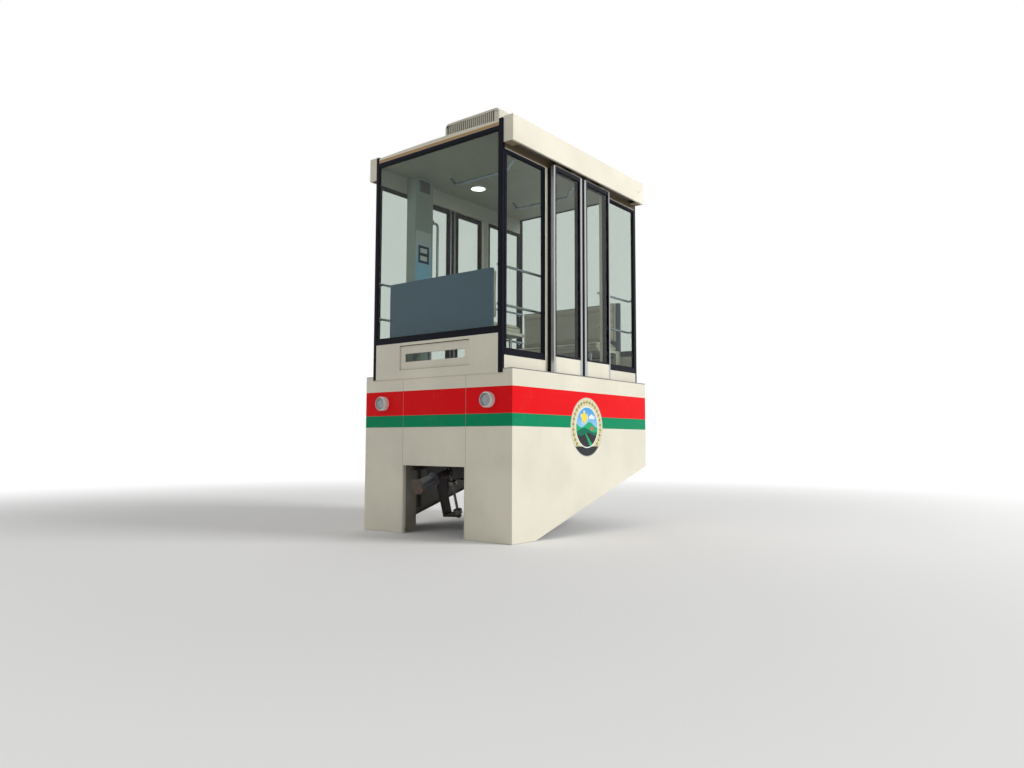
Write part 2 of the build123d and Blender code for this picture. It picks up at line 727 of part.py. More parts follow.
def grab_pole():
    """Upright pipe beside the left-hand doorway, both ends bent into the cabinet's side."""
    wall = CABINET_WIDTH / 2 - CABINET_STATION
    x, y = wall + POLE_STAND_OFF, cabin_inside - POLE_INSET
    low, high = above(POLE_LOW, POLE_HIGH)
    path = FilletPolyline((wall, y, low), (x, y, low), (x, y, high), (wall, y, high), radius=POLE_BEND)
    section = Plane(origin=path @ 0, z_dir=path % 0) * Circle(POLE_RADIUS)
    return sweep(section, path)


def ceiling_lamp():
    """Flat round lamp with a chamfered edge."""
    radius, drop, edge = CEILING_LAMP_RADIUS, CEILING_LAMP_DROP, CEILING_LAMP_EDGE
    profile = ((0, 0), (radius, 0), (radius, edge - drop), (radius - edge, -drop), (0, -drop))
    return Pos(*CEILING_LAMP_PLACE, SKIRT_TOP + CEILING) * turned(profile)


def wall_cabinet():
    """Upright cabinet on the left-hand wall between bench and doorway, from floor to ceiling."""
    x = (-CABINET_STATION - CABINET_WIDTH / 2, CABINET_WIDTH / 2 - CABINET_STATION)
    box = block(x, (cabin_inside, cabinet_face), above(0, CEILING))
    return fillet(box.faces().sort_by(Axis.Y)[0].edges().filter_by(Axis.Z), CABINET_ROUNDING)


def wall_speaker():
    """Flat box with bevelled edges on the cabinet, under the ceiling."""
    top = CEILING - SPEAKER_DROP
    x = (-CABINET_STATION - SPEAKER_WIDTH / 2, SPEAKER_WIDTH / 2 - CABINET_STATION)
    box = block(x, (cabinet_face, cabinet_face - SPEAKER_DEPTH), above(top - SPEAKER_HEIGHT, top))
    return chamfer(box.faces().sort_by(Axis.Y)[0].edges(), SPEAKER_EDGE)


# Head lamps
def on_skirt_end(end, side, shape):
    """A shape drawn about +Z, set on the skirt's end face at a lamp's place, pointing outwards."""
    y = side * (half_width - LAMP_FROM_EDGE)
    return Pos(end * half_length, y, SKIRT_TOP - LAMP_BELOW) * Rot(0, end * 90, 0) * shape


def lamp_bezel(end, side):
    """Drum with a bevelled rim and a seat for the lens."""
    seat = LAMP_OUT - LENS_SEAT
    drum = turned((
        (0, 0), (LAMP_RADIUS, 0), (LAMP_RADIUS, LAMP_OUT - LAMP_EDGE), (LAMP_RADIUS - LAMP_EDGE, LAMP_OUT),
        (LAMP_LENS_RADIUS, LAMP_OUT), (LAMP_LENS_RADIUS, seat), (0, seat),
    ))
    return on_skirt_end(end, side, drum)


def lamp_lens(end, side):
    """Round lens in the drum's seat."""
    foot = LAMP_OUT - LENS_SEAT
    return on_skirt_end(end, side, rod((0, 0, foot), (0, 0, foot + LENS_THICKNESS), LAMP_LENS_RADIUS))


# Buffers
def buffer_unit(end):
    """Head, barrel with two collars, rod and flange in line with the slope."""
    rod_length = buffer_reach - bracket_station
    barrel_end = BUFFER_HEAD + BUFFER_BARREL
    profile = (
        (0, 0),
        (BUFFER_HEAD_RADIUS - BUFFER_HEAD_EDGE, 0),
        (BUFFER_HEAD_RADIUS, -BUFFER_HEAD_EDGE),
        (BUFFER_HEAD_RADIUS, -BUFFER_HEAD),
        (BUFFER_BARREL_RADIUS, -BUFFER_HEAD),
        (BUFFER_BARREL_RADIUS, BUFFER_COLLAR - barrel_end),
        (BUFFER_COLLAR_RADIUS, BUFFER_COLLAR - barrel_end),
        (BUFFER_COLLAR_RADIUS, -barrel_end),
        (BUFFER_ROD_RADIUS, -barrel_end),
        (BUFFER_ROD_RADIUS, BUFFER_FLANGE - rod_length),
        (BUFFER_FLANGE_RADIUS, BUFFER_FLANGE - rod_length),
        (BUFFER_FLANGE_RADIUS, -rod_length),
        (0, -rod_length),
    )
    return inclined(Pos(end * buffer_reach, 0, BUFFER_HEIGHT) * Rot(0, end * 90, 0) * turned(profile))


# Running gear
def side_beam(side):
    """Channel section, its open side facing the middle."""
    y = (side * SIDE_BEAM_INNER, side * (SIDE_BEAM_INNER + SIDE_BEAM_WIDTH))
    hollow_y = (side * SIDE_BEAM_INNER, side * (SIDE_BEAM_INNER + SIDE_BEAM_WIDTH - SIDE_BEAM_WEB))
    hollow_n = (SIDE_BEAM_LOW + SIDE_BEAM_FLANGE, side_beam_high - POST_SEAT)
    beam = block((-frame_half, frame_half), y, (SIDE_BEAM_LOW, side_beam_high))
    return inclined(beam - block((-frame_half, frame_half), hollow_y, hollow_n))


def frame_post(side, x):
    """Upright between a side beam and the floor frame, its foot cut to the slope."""
    seat = (side_beam_high - POST_SEAT) * slant
    x0, x1 = x - POST_SIZE / 2, x + POST_SIZE / 2
    foot = (x0, running_face(x0) + seat), (x1, running_face(x1) + seat)
    outline = Plane.XZ * Polyline(*foot, (x1, beam_low), (x0, beam_low), close=True)
    post = extrude(make_face(outline), SIDE_BEAM_WIDTH, dir=(0, 1, 0))
    y = (side * SIDE_BEAM_INNER, side * (SIDE_BEAM_INNER + SIDE_BEAM_WIDTH))
    return Pos(0, min(y), 0) * post


def running_frame():
    """Two channels along the slope, posts up to the floor frame, drive plate and buffer brackets."""
    across = (-SIDE_BEAM_INNER, SIDE_BEAM_INNER)
    outer_post = half_length - POST_END_INSET
    plate = block(
        (DRIVE_STATION - DRIVE_PLATE_HALF_LENGTH, DRIVE_STATION + DRIVE_PLATE_HALF_LENGTH), across,
        (side_beam_high - DRIVE_PLATE, side_beam_high),
    )
    frame = inclined(plate)
    for side in SIDES:
        frame = frame + side_beam(side)
        for x in (-outer_post, -POST_INNER_AT, POST_INNER_AT, outer_post):
            frame = frame + frame_post(side, x)
    for end in ENDS:
        s = end * bracket_station
        bracket = block((s, s - end * BUFFER_BRACKET), across, (BUFFER_BRACKET_LOW, side_beam_high))
        frame = frame + inclined(bracket)
    return frame


def wheel_carrier(end):
    """Yoke: axle plates for the running wheel, arms and fingers for the guide spindles."""
    s = end * wheel_station
    yoke_x = (s - YOKE_HALF_LENGTH, s + YOKE_HALF_LENGTH)
    arm_x = (s - ARM_HALF_LENGTH, s + ARM_HALF_LENGTH)
    carrier = block(yoke_x, (-SIDE_BEAM_INNER, SIDE_BEAM_INNER), (yoke_low, side_beam_high))
    for side in SIDES:
        carrier = carrier + axle_plate(side, s)
        arm_y = (side * (SIDE_BEAM_INNER - ARM_THICKNESS), side * SIDE_BEAM_INNER)
        carrier += block(arm_x, arm_y, (finger_top - FINGER, yoke_low))
        for low in (finger_top - FINGER, UPPER_FINGER_AT):
            carrier = carrier + finger(side, s, low)
        low, high = finger_top - FINGER, UPPER_FINGER_AT + FINGER
        y = side * spindle_y
        carrier -= rod((s, y, low), (s, y, high), SPINDLE_RADIUS + BEARING_CLEARANCE)
    bore = AXLE_RADIUS + BEARING_CLEARANCE
    return inclined(carrier - rod((s, -axle_end, WHEEL_RADIUS), (s, axle_end, WHEEL_RADIUS), bore))


def axle_plate(side, s):
    """Hanging plate, narrowed to a round foot at the axle."""
    y0, y1 = sorted((side * axle_plate_inner, side * axle_end))
    outline = make_hull([
        *Polyline((s - YOKE_HALF_LENGTH, yoke_low), (s + YOKE_HALF_LENGTH, yoke_low)).edges(),
        *(Pos(s, WHEEL_RADIUS) * Circle(AXLE_PLATE_FOOT)).edges(),
    ])
    return Pos(0, y0, 0) * extrude(Plane.XZ * outline, y1 - y0, dir=(0, 1, 0))


def finger(side, s, low):
    """Plate from the arm to a round boss at the guide spindle."""
    outline = make_hull([
        *Polyline(
            (s - ARM_HALF_LENGTH, side * SIDE_BEAM_INNER), (s + ARM_HALF_LENGTH, side * SIDE_BEAM_INNER)
        ).edges(),
        *(Pos(s, side * spindle_y) * Circle(FINGER_BOSS_RADIUS)).edges(),
    ])
    return Pos(0, 0, low) * extrude(outline, FINGER, dir=(0, 0, 1))


def running_wheel(end):
    """Tread on a dished hub, in one piece with its axle."""
    half = WHEEL_WIDTH / 2
    hub = AXLE_RADIUS + WHEEL_HUB
    rim = WHEEL_RADIUS - WHEEL_TREAD
    dish = half - WHEEL_DISH
    side = (
        (AXLE_RADIUS, axle_end), (AXLE_RADIUS, half), (hub, half), (hub, dish), (rim, half),
        (WHEEL_RADIUS - WHEEL_CHAMFER, half), (WHEEL_RADIUS, half - WHEEL_CHAMFER),
    )
    mirrored = tuple((radius, -width) for radius, width in reversed(side))
    wheel = turned(((0, axle_end), *side, *mirrored, (0, -axle_end)))
    return inclined(Pos(end * wheel_station, 0, WHEEL_RADIUS) * Rot(90, 0, 0) * wheel)


def guide_roller(middle):
    """Steel roller with chamfered rims."""
    half, rim = ROLLER_HEIGHT / 2, ROLLER_HEIGHT / 2 - ROLLER_CROWN
    edge = ROLLER_RADIUS - ROLLER_CROWN
    return Pos(0, 0, middle) * turned((
        (0, half), (edge, half), (ROLLER_RADIUS, rim), (ROLLER_RADIUS, -rim), (edge, -half), (0, -half),
    ))


def guide_spindle(end, side):
    """Upper and lower roller on one spindle that turns in the carrier's fingers."""
    spindle = rod((0, 0, finger_top - FINGER), (0, 0, UPPER_FINGER_AT + FINGER), SPINDLE_RADIUS)
    for middle in (-CHORD_HEIGHT / 2, lower_chord_middle):
        spindle = spindle + guide_roller(middle)
    return inclined(Pos(end * wheel_station, side * spindle_y, 0) * spindle)


# Drive
def drive_unit():
    """Gearbox under the drive plate and its motor above, each one closed block."""
    s, y = DRIVE_STATION, pinion_y
    top = side_beam_high - DRIVE_PLATE
    box = block(
        (s - GEARBOX_HALF_LENGTH, s + GEARBOX_HALF_LENGTH), (y - GEARBOX_HALF_WIDTH, y + GEARBOX_HALF_WIDTH),
        (GEARBOX_LOW, top),
    )
    box = fillet(box.edges().filter_by(Axis.Z), GEARBOX_ROUNDING)
    seat = GEARBOX_LOW + SHAFT_SEAT + SHAFT_END_GAP
    box -= rod((s, y, GEARBOX_LOW), (s, y, seat), PINION_SHAFT_RADIUS + BEARING_CLEARANCE)
    shoulder = MOTOR_HEIGHT - MOTOR_CAP
    motor = turned((
        (0, 0), (MOTOR_RADIUS, 0), (MOTOR_RADIUS, shoulder), (MOTOR_CAP_RADIUS, shoulder),
        (MOTOR_CAP_RADIUS, MOTOR_HEIGHT), (0, MOTOR_HEIGHT),
    ))
    return [inclined(box), inclined(Pos(s, y, side_beam_high) * motor)]


def drive_pinion():
    """Straight-toothed pinion with a hub, on its shaft."""
    tip = PINION_PITCH_RADIUS + PINION_ADDENDUM
    root = PINION_PITCH_RADIUS - PINION_DEDENDUM
    step = 2 * math.pi / PINION_TEETH
    # share of the tooth step at each corner of a tooth, and the radius there
    corners = ((-0.36, root), (-0.24, PINION_PITCH_RADIUS), (-0.13, tip),
               (0.13, tip), (0.24, PINION_PITCH_RADIUS), (0.36, root))
    points = [
        (radius * math.cos((tooth + share) * step), radius * math.sin((tooth + share) * step))
        for tooth in range(PINION_TEETH) for share, radius in corners
    ]
    low = -PINION_DEPTH - PINION_FACE / 2
    gear = Pos(0, 0, low) * extrude(make_face(Polyline(*points, close=True)), PINION_FACE)
    hub = rod((0, 0, low), (0, 0, low + PINION_FACE + PINION_HUB), PINION_HUB_RADIUS)
    shaft = rod((0, 0, low), (0, 0, GEARBOX_LOW + SHAFT_SEAT), PINION_SHAFT_RADIUS)
    return inclined(Pos(DRIVE_STATION, pinion_y, 0) * (gear + hub + shaft))


def current_collector():
    """Insulated arm with four sliding shoes."""
    arm_face = COLLECTOR_ARM - SIDE_BEAM_INNER
    lowest = SHOE_TOP - SHOE_STEP * (SHOE_COUNT - 1)
    arm = block(
        (first_shoe - COLLECTOR_MARGIN, last_shoe + COLLECTOR_MARGIN), (-SIDE_BEAM_INNER, arm_face),
        (lowest - SHOE_STEP, side_beam_high),
    )
    for number in range(SHOE_COUNT):
        x, n = first_shoe + number * SHOE_PITCH, SHOE_TOP - number * SHOE_STEP
        stem = SHOE_LENGTH / 2 - SHOE_STEM_INSET
        back = -SHOE_FACE - SHOE_THICKNESS
        stem_n = (n - SHOE_STEM_HEIGHT / 2, n + SHOE_STEM_HEIGHT / 2)
        arm += block((x - stem, x + stem), (arm_face, back), stem_n)
        shoe_n = (n - SHOE_HEIGHT / 2, n + SHOE_HEIGHT / 2)
        arm += block((x - SHOE_LENGTH / 2, x + SHOE_LENGTH / 2), (back, -SHOE_FACE), shoe_n)
    return inclined(arm)


save("floor_deck", floor_deck())
save("floor_frame", floor_frame())
save("door_sills", *[door_sill(side) for side in SIDES])
save("arch_linings", *[arch_cheek(end, side) for side, end in CORNERS])
save("roof_panel", roof_panel())
save("roof_cooler", roof_cooler())
save("side_window_frames", *[window_frame(side, end) for side, end in CORNERS])
save("side_window_glass", *[window_pane(side, end) for side, end in CORNERS])
save("windscreens", *[windscreen(end) for end in ENDS])
save("slot_windows", *[slot_pane(end) for end in ENDS])
save("door_tracks", *[door_track(side) for side in SIDES])
save("guard_rails", *[guard_rail(side, end, z) for side, end in CORNERS for z in (GUARD_LOW, GUARD_HIGH)])
save("grab_rails", *[grab_rail(end) for end in ENDS], grab_pole())
save("ceiling_lamps", ceiling_lamp())
save("wall_cabinet", wall_cabinet())
save("wall_speaker", wall_speaker())
save("lamp_bezels", *[lamp_bezel(end, side) for side, end in CORNERS])
save("lamp_lenses", *[lamp_lens(end, side) for side, end in CORNERS])
save("running_frame", running_frame())
save("drive_unit", *drive_unit())
save("drive_pinion", drive_pinion())
save("current_collector", current_collector())

for side in SIDES:
    save(f"skirt_side_{SIDE_NAMES[side]}", skirt_side(side))
    save(f"side_wall_{SIDE_NAMES[side]}", side_wall(side))
    save(f"door_cover_{SIDE_NAMES[side]}", door_cover(side))

for end in ENDS:
    name = END_NAMES[end]
    save(f"skirt_end_{name}", skirt_end(end))
    save(f"end_panel_{name}", end_panel(end))
    save(f"windscreen_frame_{name}", windscreen_frame(end))
    save(f"bench_{name}", bench(end))
    save(f"seat_cushion_{name}", seat_cushion(end))
    save(f"back_cushion_{name}", back_cushion(end))
    save(f"buffer_{name}", buffer_unit(end))
    save(f"wheel_carrier_{name}", wheel_carrier(end))
    save(f"running_wheel_{name}", running_wheel(end))

for side, end in CORNERS:
    name = f"{SIDE_NAMES[side]}_{END_NAMES[end]}"
    save(f"door_leaf_{name}", door_leaf(side, end))
    save(f"door_glass_{name}", door_glass(side, end))
    save(f"guide_spindle_{name}", guide_spindle(end, side))
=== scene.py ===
"""Looks of an inclined monorail car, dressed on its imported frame. Metres, in the frame's own axes."""

import logging
import math
from collections.abc import Callable, Iterable, Sequence
from dataclasses import dataclass
from enum import Enum
from functools import cache, partialmethod, reduce
from itertools import product
from typing import Union

import bmesh
import bpy
import numpy as np
from mathutils import Matrix, Vector


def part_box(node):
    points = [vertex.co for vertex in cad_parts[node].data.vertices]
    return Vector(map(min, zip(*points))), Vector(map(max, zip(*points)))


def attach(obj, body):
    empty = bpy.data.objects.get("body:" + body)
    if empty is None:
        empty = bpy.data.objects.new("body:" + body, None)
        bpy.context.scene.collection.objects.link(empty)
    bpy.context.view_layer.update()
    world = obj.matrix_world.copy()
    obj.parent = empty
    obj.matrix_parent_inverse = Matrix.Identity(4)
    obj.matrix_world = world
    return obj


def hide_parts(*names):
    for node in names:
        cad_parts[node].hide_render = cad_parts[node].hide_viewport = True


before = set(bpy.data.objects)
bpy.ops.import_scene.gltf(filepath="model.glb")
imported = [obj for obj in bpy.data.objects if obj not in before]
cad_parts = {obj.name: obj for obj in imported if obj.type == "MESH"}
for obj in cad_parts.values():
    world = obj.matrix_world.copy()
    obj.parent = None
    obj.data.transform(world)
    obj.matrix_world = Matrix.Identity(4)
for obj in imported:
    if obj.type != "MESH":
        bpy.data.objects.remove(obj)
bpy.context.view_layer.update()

log = logging.getLogger("car")

Colour = tuple[float, float, float]
Point = Sequence[float]
Number = Union["Field", float]
Pair = tuple[float, float]
Group = Callable[[], bpy.types.NodeTree]

SLOPE = 0.30                       # rise over run of the way
INCLINE = math.atan(SLOPE)
FULL_TURN = 2 * math.pi
QUARTER = math.pi / 2
ENDS = {"downhill": -1.0, "uphill": 1.0}
SIDES = {"right": -1.0, "left": 1.0}
INSIDE_WALL = 0.7222               # half the width between the side walls

IVORY: Colour = (0.80, 0.765, 0.64)
STRIPE_RED: Colour = (0.80, 0.004, 0.008)
STRIPE_GREEN: Colour = (0.0, 0.255, 0.110)
FRAME_BLACK: Colour = (0.005, 0.0065, 0.013)
ROAD_DIRT: Colour = (0.15, 0.12, 0.085)
PALE_DUST: Colour = (0.46, 0.42, 0.35)
RUST_DARK: Colour = (0.075, 0.026, 0.012)
RUST_BRIGHT: Colour = (0.30, 0.105, 0.035)


# Surfaces

@dataclass(frozen=True)
class Surface:
    """Points, and faces of four corners each."""

    points: np.ndarray
    faces: np.ndarray

    def moved(self, offset: Point) -> "Surface":
        """The surface shifted by an offset."""
        return Surface(self.points + np.asarray(offset, float), self.faces)

    def turned(self, directions: Sequence[Point]) -> "Surface":
        """The surface with its own x, y and z laid along three given directions."""
        return Surface(self.points @ np.asarray(directions, float), self.faces)

    def facing(self, axis: str, way: float = 1.0) -> "Surface":
        """A surface drawn up from z 0, turned so that it stands out along an axis, or against it."""
        out = np.eye(3)["xyz".index(axis)] * way
        side = np.eye(3)[0] if axis == "z" else np.cross((0, 0, 1), out)
        return self.turned((side, np.cross(out, side), out))

    def inclined(self) -> "Surface":
        """A surface drawn along s, y, n laid along the slope, turned about the cross axis."""
        c, s = math.cos(INCLINE), math.sin(INCLINE)
        return self.turned(((c, 0, s), (0, 1, 0), (-s, 0, c)))

    def mirrored(self, axis: int = 1) -> "Surface":
        """The surface reflected in the plane through the origin across one axis."""
        flip = np.ones(3)
        flip[axis] = -1.0
        return Surface(self.points * flip, self.faces[:, ::-1])

    def both(self, axis: int = 1) -> "Surface":
        """The surface together with its reflection."""
        return join(self, self.mirrored(axis))

    def copied(self, places: Iterable[Point]) -> "Surface":
        """One copy at each place: the points are added to every place by broadcasting."""
        places = np.asarray(list(places), float)
        points = (places[:, None, :] + self.points[None]).reshape(-1, 3)
        shift = np.arange(len(places))[:, None, None] * len(self.points)
        return Surface(points, (self.faces[None] + shift).reshape(-1, 4))


@dataclass(frozen=True)
class Extent:
    """A box given by its lowest and highest corner."""

    low: Vector
    high: Vector

    @classmethod
    def of(cls, node: str) -> "Extent":
        """The box of a node of the frame."""
        return cls(*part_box(node))

    @property
    def centre(self) -> Vector:
        """Middle of the box."""
        return (self.low + self.high) / 2

    @property
    def size(self) -> Vector:
        """Lengths of the box's edges."""
        return self.high - self.low

    def sign(self, axis: int) -> float:
        """1 or -1, the side of the origin that the box's middle is on."""
        return math.copysign(1.0, self.centre[axis])


def coordinates(mesh: bpy.types.Mesh) -> np.ndarray:
    """A mesh's points as an array."""
    points = np.empty(len(mesh.vertices) * 3)
    mesh.vertices.foreach_get("co", points)
    return points.reshape(-1, 3)


def solids(node: str) -> list[Extent]:
    """Boxes of a node's separate solids.

    Points at one place count as one, each face gives its corners the lowest label among them, and labels
    spread until none changes; each label left is one solid.

    Args:
        node: a node of the frame.

    Returns:
        One box for each solid, sorted by their middles.
    """
    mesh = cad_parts[node].data
    points = coordinates(mesh)
    corners = np.empty(len(mesh.loops), int)
    mesh.loops.foreach_get("vertex_index", corners)
    _, welded = np.unique(points.round(5), axis=0, return_inverse=True)
    welded = welded.reshape(-1)
    faces = welded[corners.reshape(-1, 3)]
    label = np.arange(welded.max() + 1)
    settled = False
    while not settled:
        lowest = label.copy()
        np.minimum.at(lowest, faces.ravel(), label[faces].min(axis=1).repeat(3))
        lowest = lowest[lowest]
        settled = (lowest == label).all()
        label = lowest
    groups = [points[label[welded] == number] for number in np.unique(label)]
    boxes = [Extent(Vector(own.min(0)), Vector(own.max(0))) for own in groups]
    return sorted(boxes, key=lambda box: tuple(round(v, 3) for v in box.centre))


def join(*surfaces: Surface) -> Surface:
    """Several surfaces as one, each one's faces counted on from the points before it."""
    starts = np.cumsum([0] + [len(s.points) for s in surfaces[:-1]])
    points = np.concatenate([s.points for s in surfaces])
    return Surface(points, np.concatenate([s.faces + n for s, n in zip(surfaces, starts)]))


def ringed(rows: np.ndarray) -> Surface:
    """Rows of points as a surface; in each row the last point joins the first."""
    count, columns = rows.shape[:2]
    row, column = np.meshgrid(np.arange(count - 1), np.arange(columns), indexing="ij")
    beside = (column + 1) % columns
    corners = (row * columns + column, row * columns + beside,
               (row + 1) * columns + beside, (row + 1) * columns + column)
    return Surface(rows.reshape(-1, 3), np.stack(corners, axis=-1).reshape(-1, 4))


def turns(count: int) -> np.ndarray:
    """Equal angle steps of one full turn."""
    return np.linspace(0, FULL_TURN, count, endpoint=False)


def arc(angles: np.ndarray, wide: float, high: float | None = None) -> np.ndarray:
    """Points (wide cos t, high sin t) for each angle t; high is the same as wide where it isn't given."""
    return np.stack([wide * np.cos(angles), (wide if high is None else high) * np.sin(angles)], axis=-1)


def revolved(profile: Sequence[Point], sides: int = 32) -> Surface:
    """Turned shape about z: point (r, h) of the profile goes to (r cos t, r sin t, h) for each angle t."""
    radius, height = np.asarray(profile, float).T[:, :, None]
    angle = turns(sides)
    rows = np.broadcast_arrays(radius * np.cos(angle), radius * np.sin(angle), height)
    return ringed(np.stack(rows, axis=-1))


def band(inner: float, outer: float, low: float, high: float, sides: int) -> Surface:
    """Flat ring about z."""
    return revolved(((inner, low), (outer, low), (outer, high), (inner, high), (inner, low)), sides)


def spread(radius: float, rings: int, sides: int) -> tuple[np.ndarray, np.ndarray]:
    """Places u and v across a disc about z, in rings from its middle to its edge."""
    away = radius * np.linspace(0, 1, rings)[:, None]
    return away * np.cos(turns(sides)), away * np.sin(turns(sides))


def disc(u: np.ndarray, v: np.ndarray, front: np.ndarray, back: np.ndarray | float) -> Surface:
    """Closed disc over places u and v, between the heights of its front and its back."""
    ahead, behind = (np.stack(np.broadcast_arrays(u, v, height), axis=-1) for height in (front, back))
    return ringed(np.concatenate([ahead, behind[::-1]]))


def plate(outline: np.ndarray, thickness: float, edge: float = 0.0) -> Surface:
    """Flat plate over a convex outline in x and y, from z 0 up, its rims drawn in by edge.

    Each row is the outline scaled about its middle, at one height; the first and last row are the middle.

    Args:
        outline: corners of the outline, in order.
        thickness: height of the plate.
        edge: width of the chamfer along both rims.

    Returns:
        The closed plate.
    """
    middle = outline.mean(0)
    drawn_in = 1 - edge / np.abs(outline - middle).max()
    scales = np.array([0, drawn_in, 1, 1, drawn_in, 0])
    heights = np.array([0, 0, edge, thickness - edge, thickness, thickness])
    flat = middle + (outline - middle)[None] * scales[:, None, None]
    upright = np.broadcast_to(heights[:, None, None], (6, len(outline), 1))
    return ringed(np.concatenate([flat, upright], axis=-1))


def rounded_outline(width: float, height: float, radius: float, steps: int = 5) -> np.ndarray:
    """Rectangle about the origin with round corners: a quarter circle added at each inner corner."""
    corner = np.array([(1, 1), (-1, 1), (-1, -1), (1, -1)], float)
    angle = np.linspace(0, QUARTER, steps)[None] + np.arange(4)[:, None] * QUARTER
    inner = corner[:, None] * (np.array([width, height]) / 2 - radius)
    return (inner + arc(angle, radius)).reshape(-1, 2)


def soft_block(low: Point, high: Point, radius: float, steps: int = 3) -> Surface:
    """Box with rounded edges and corners.

    A globe's points of latitude and longitude are each pushed out to their own corner of the inner box,
    and the two poles close the bottom and top faces.

    Args:
        low: lowest corner.
        high: highest corner.
        radius: rounding of the edges.
        steps: faces across a quarter turn.

    Returns:
        The closed block.
    """
    low, high = np.asarray(low, float), np.asarray(high, float)
    radius = min(radius, 0.49 * float((high - low).min()))
    quarter = np.linspace(0, QUARTER, steps + 1)
    latitude = np.concatenate([quarter - QUARTER, quarter])[:, None]
    longitude = (quarter[None] + np.arange(4)[:, None] * QUARTER).reshape(1, -1)
    level = np.cos(latitude)
    away = np.stack(np.broadcast_arrays(
        level * np.cos(longitude), level * np.sin(longitude), np.sin(latitude)), axis=-1)
    across = [np.repeat(signs, steps + 1)[None] for signs in ([1, -1, -1, 1], [1, 1, -1, -1])]
    corner = np.stack(np.broadcast_arrays(*across, np.repeat([-1, 1], steps + 1)[:, None]), axis=-1)
    middle, inner = (low + high) / 2, (high - low) / 2 - radius
    rows = middle + corner * inner + radius * away
    poles = [np.broadcast_to((*middle[:2], z), rows[:1].shape) for z in (low[2], high[2])]
    return ringed(np.concatenate([poles[0], rows, poles[1]]))


def carried(profile: np.ndarray, path: np.ndarray, up: Point, closed: bool = False) -> Surface:
    """Profile carried along a path.

    The profile's first coordinate points sideways, square to the path and to up, and its second along up.
    Where the path turns, sideways is the mitre of the two runs that meet. An open path's ends are closed
    at the profile's middle.

    Args:
        profile: outline of the section, in order.
        path: points of the line it is carried along.
        up: direction of the profile's second coordinate.
        closed: whether the path's last point joins its first.

    Returns:
        The closed shape.
    """
    profile, path, up = np.asarray(profile, float), np.asarray(path, float), np.asarray(up, float)
    onward = np.roll(path, -1, axis=0) - path
    if not closed:
        onward[-1] = onward[-2]
    before = np.roll(onward, 1, axis=0)
    if not closed:
        before[0] = onward[0]
    across = np.cross(np.stack([before, onward]), up)
    across /= np.linalg.norm(across, axis=-1, keepdims=True)
    dot = (across[0] * across[1]).sum(axis=1, keepdims=True)
    sideways = across.sum(axis=0) / (1 + dot)
    rows = path[:, None] + profile[None, :, :1] * sideways[:, None] + profile[None, :, 1:] * up
    if closed:
        return ringed(np.concatenate([rows, rows[:1]]))
    caps = [np.broadcast_to(row.mean(axis=1, keepdims=True), row.shape) for row in (rows[:1], rows[-1:])]
    return ringed(np.concatenate([caps[0], rows, caps[1]]))


def framed(profile: np.ndarray, half: Pair, axis: int, up: float) -> Surface:
    """Profile carried round a rectangle about the origin.

    Args:
        profile: outline of the section, first across the rectangle's edge, then along the axis.
        half: half the rectangle's width and height.
        axis: 0 for a rectangle square to x, 1 for one square to y.
        up: 1 or -1, the way along that axis of the profile's second coordinate.

    Returns:
        The frame.
    """
    path = np.zeros((4, 3))
    path[:, 1 - axis], path[:, 2] = (np.array([(-1, -1), (1, -1), (1, 1), (-1, 1)]) * half).T
    return carried(profile, path, np.eye(3)[axis] * up, True)


def bar(start: Point, end: Point, radius: float, sides: int = 16) -> Surface:
    """Round bar between two points: a circle carried along the line."""
    line = np.array([start, end], float)
    up = np.eye(3)[int(np.abs(line[1] - line[0]).argmin())]
    return carried(arc(turns(sides), radius), line, up)


def hex_bolt(radius: float, height: float) -> Surface:
    """Bolt head with its washer, standing up from z 0."""
    washer = revolved(((0, 0), (radius * 1.5, 0), (radius * 1.5, height * 0.2), (0, height * 0.2)), 12)
    return join(washer, plate(arc(turns(6), radius), height * 0.8, height * 0.12).moved((0, 0, height * 0.2)))


def pan_screw(radius: float, height: float) -> Surface:
    """Low domed screw head, standing up from z 0."""
    return revolved([(0, 0), *arc(np.linspace(0, QUARTER, 4), radius, height)], 12)


# Shader nodes

class Field:
    """A number that changes over a surface; arithmetic on it adds the nodes that work it out."""

    def __init__(self, graph: "Graph", socket: bpy.types.NodeSocket) -> None:
        """Keep the socket and the graph it belongs to."""
        self.graph, self.socket = graph, socket

    def using(self, operation: str, *others: Number, first: Number | None = None) -> "Field":
        """One Math node on this number; first, where given, comes before it."""
        values = [self, *others] if first is None else [first, self, *others]
        node = self.graph.node("ShaderNodeMath", dict(enumerate(values)), operation=operation)
        return Field(self.graph, node.outputs[0])

    __add__ = __radd__ = partialmethod(using, "ADD")
    __sub__ = partialmethod(using, "SUBTRACT")
    __mul__ = __rmul__ = partialmethod(using, "MULTIPLY")
    __truediv__ = partialmethod(using, "DIVIDE")
    most = partialmethod(using, "MAXIMUM")
    least = partialmethod(using, "MINIMUM")
    size = partialmethod(using, "ABSOLUTE")        # distance from zero
    past_whole = partialmethod(using, "FRACT")     # what is left past the last whole number

    def __rsub__(self, other: float) -> "Field":
        """A plain number less this one."""
        return self.using("SUBTRACT", first=other)

    def off(self, middle: Number) -> "Field":
        """Distance from a middle."""
        return (self - middle).size()

    def rise(self, low: Number, high: Number) -> "Field":
        """0 below low, 1 above high, a smooth step between."""
        node = self.graph.node("ShaderNodeMapRange", {0: self, 1: low, 2: high},
                               interpolation_type="SMOOTHSTEP", clamp=True)
        return Field(self.graph, node.outputs[0])

    def fall(self, low: Number, high: Number) -> "Field":
        """1 below low, 0 above high, a smooth step between."""
        return 1 - self.rise(low, high)

    def within(self, low: float, high: float, soft: float = 0.0004) -> "Field":
        """1 between two limits and 0 outside them, with soft edges."""
        return self.rise(low - soft, low + soft) * self.fall(high - soft, high + soft)


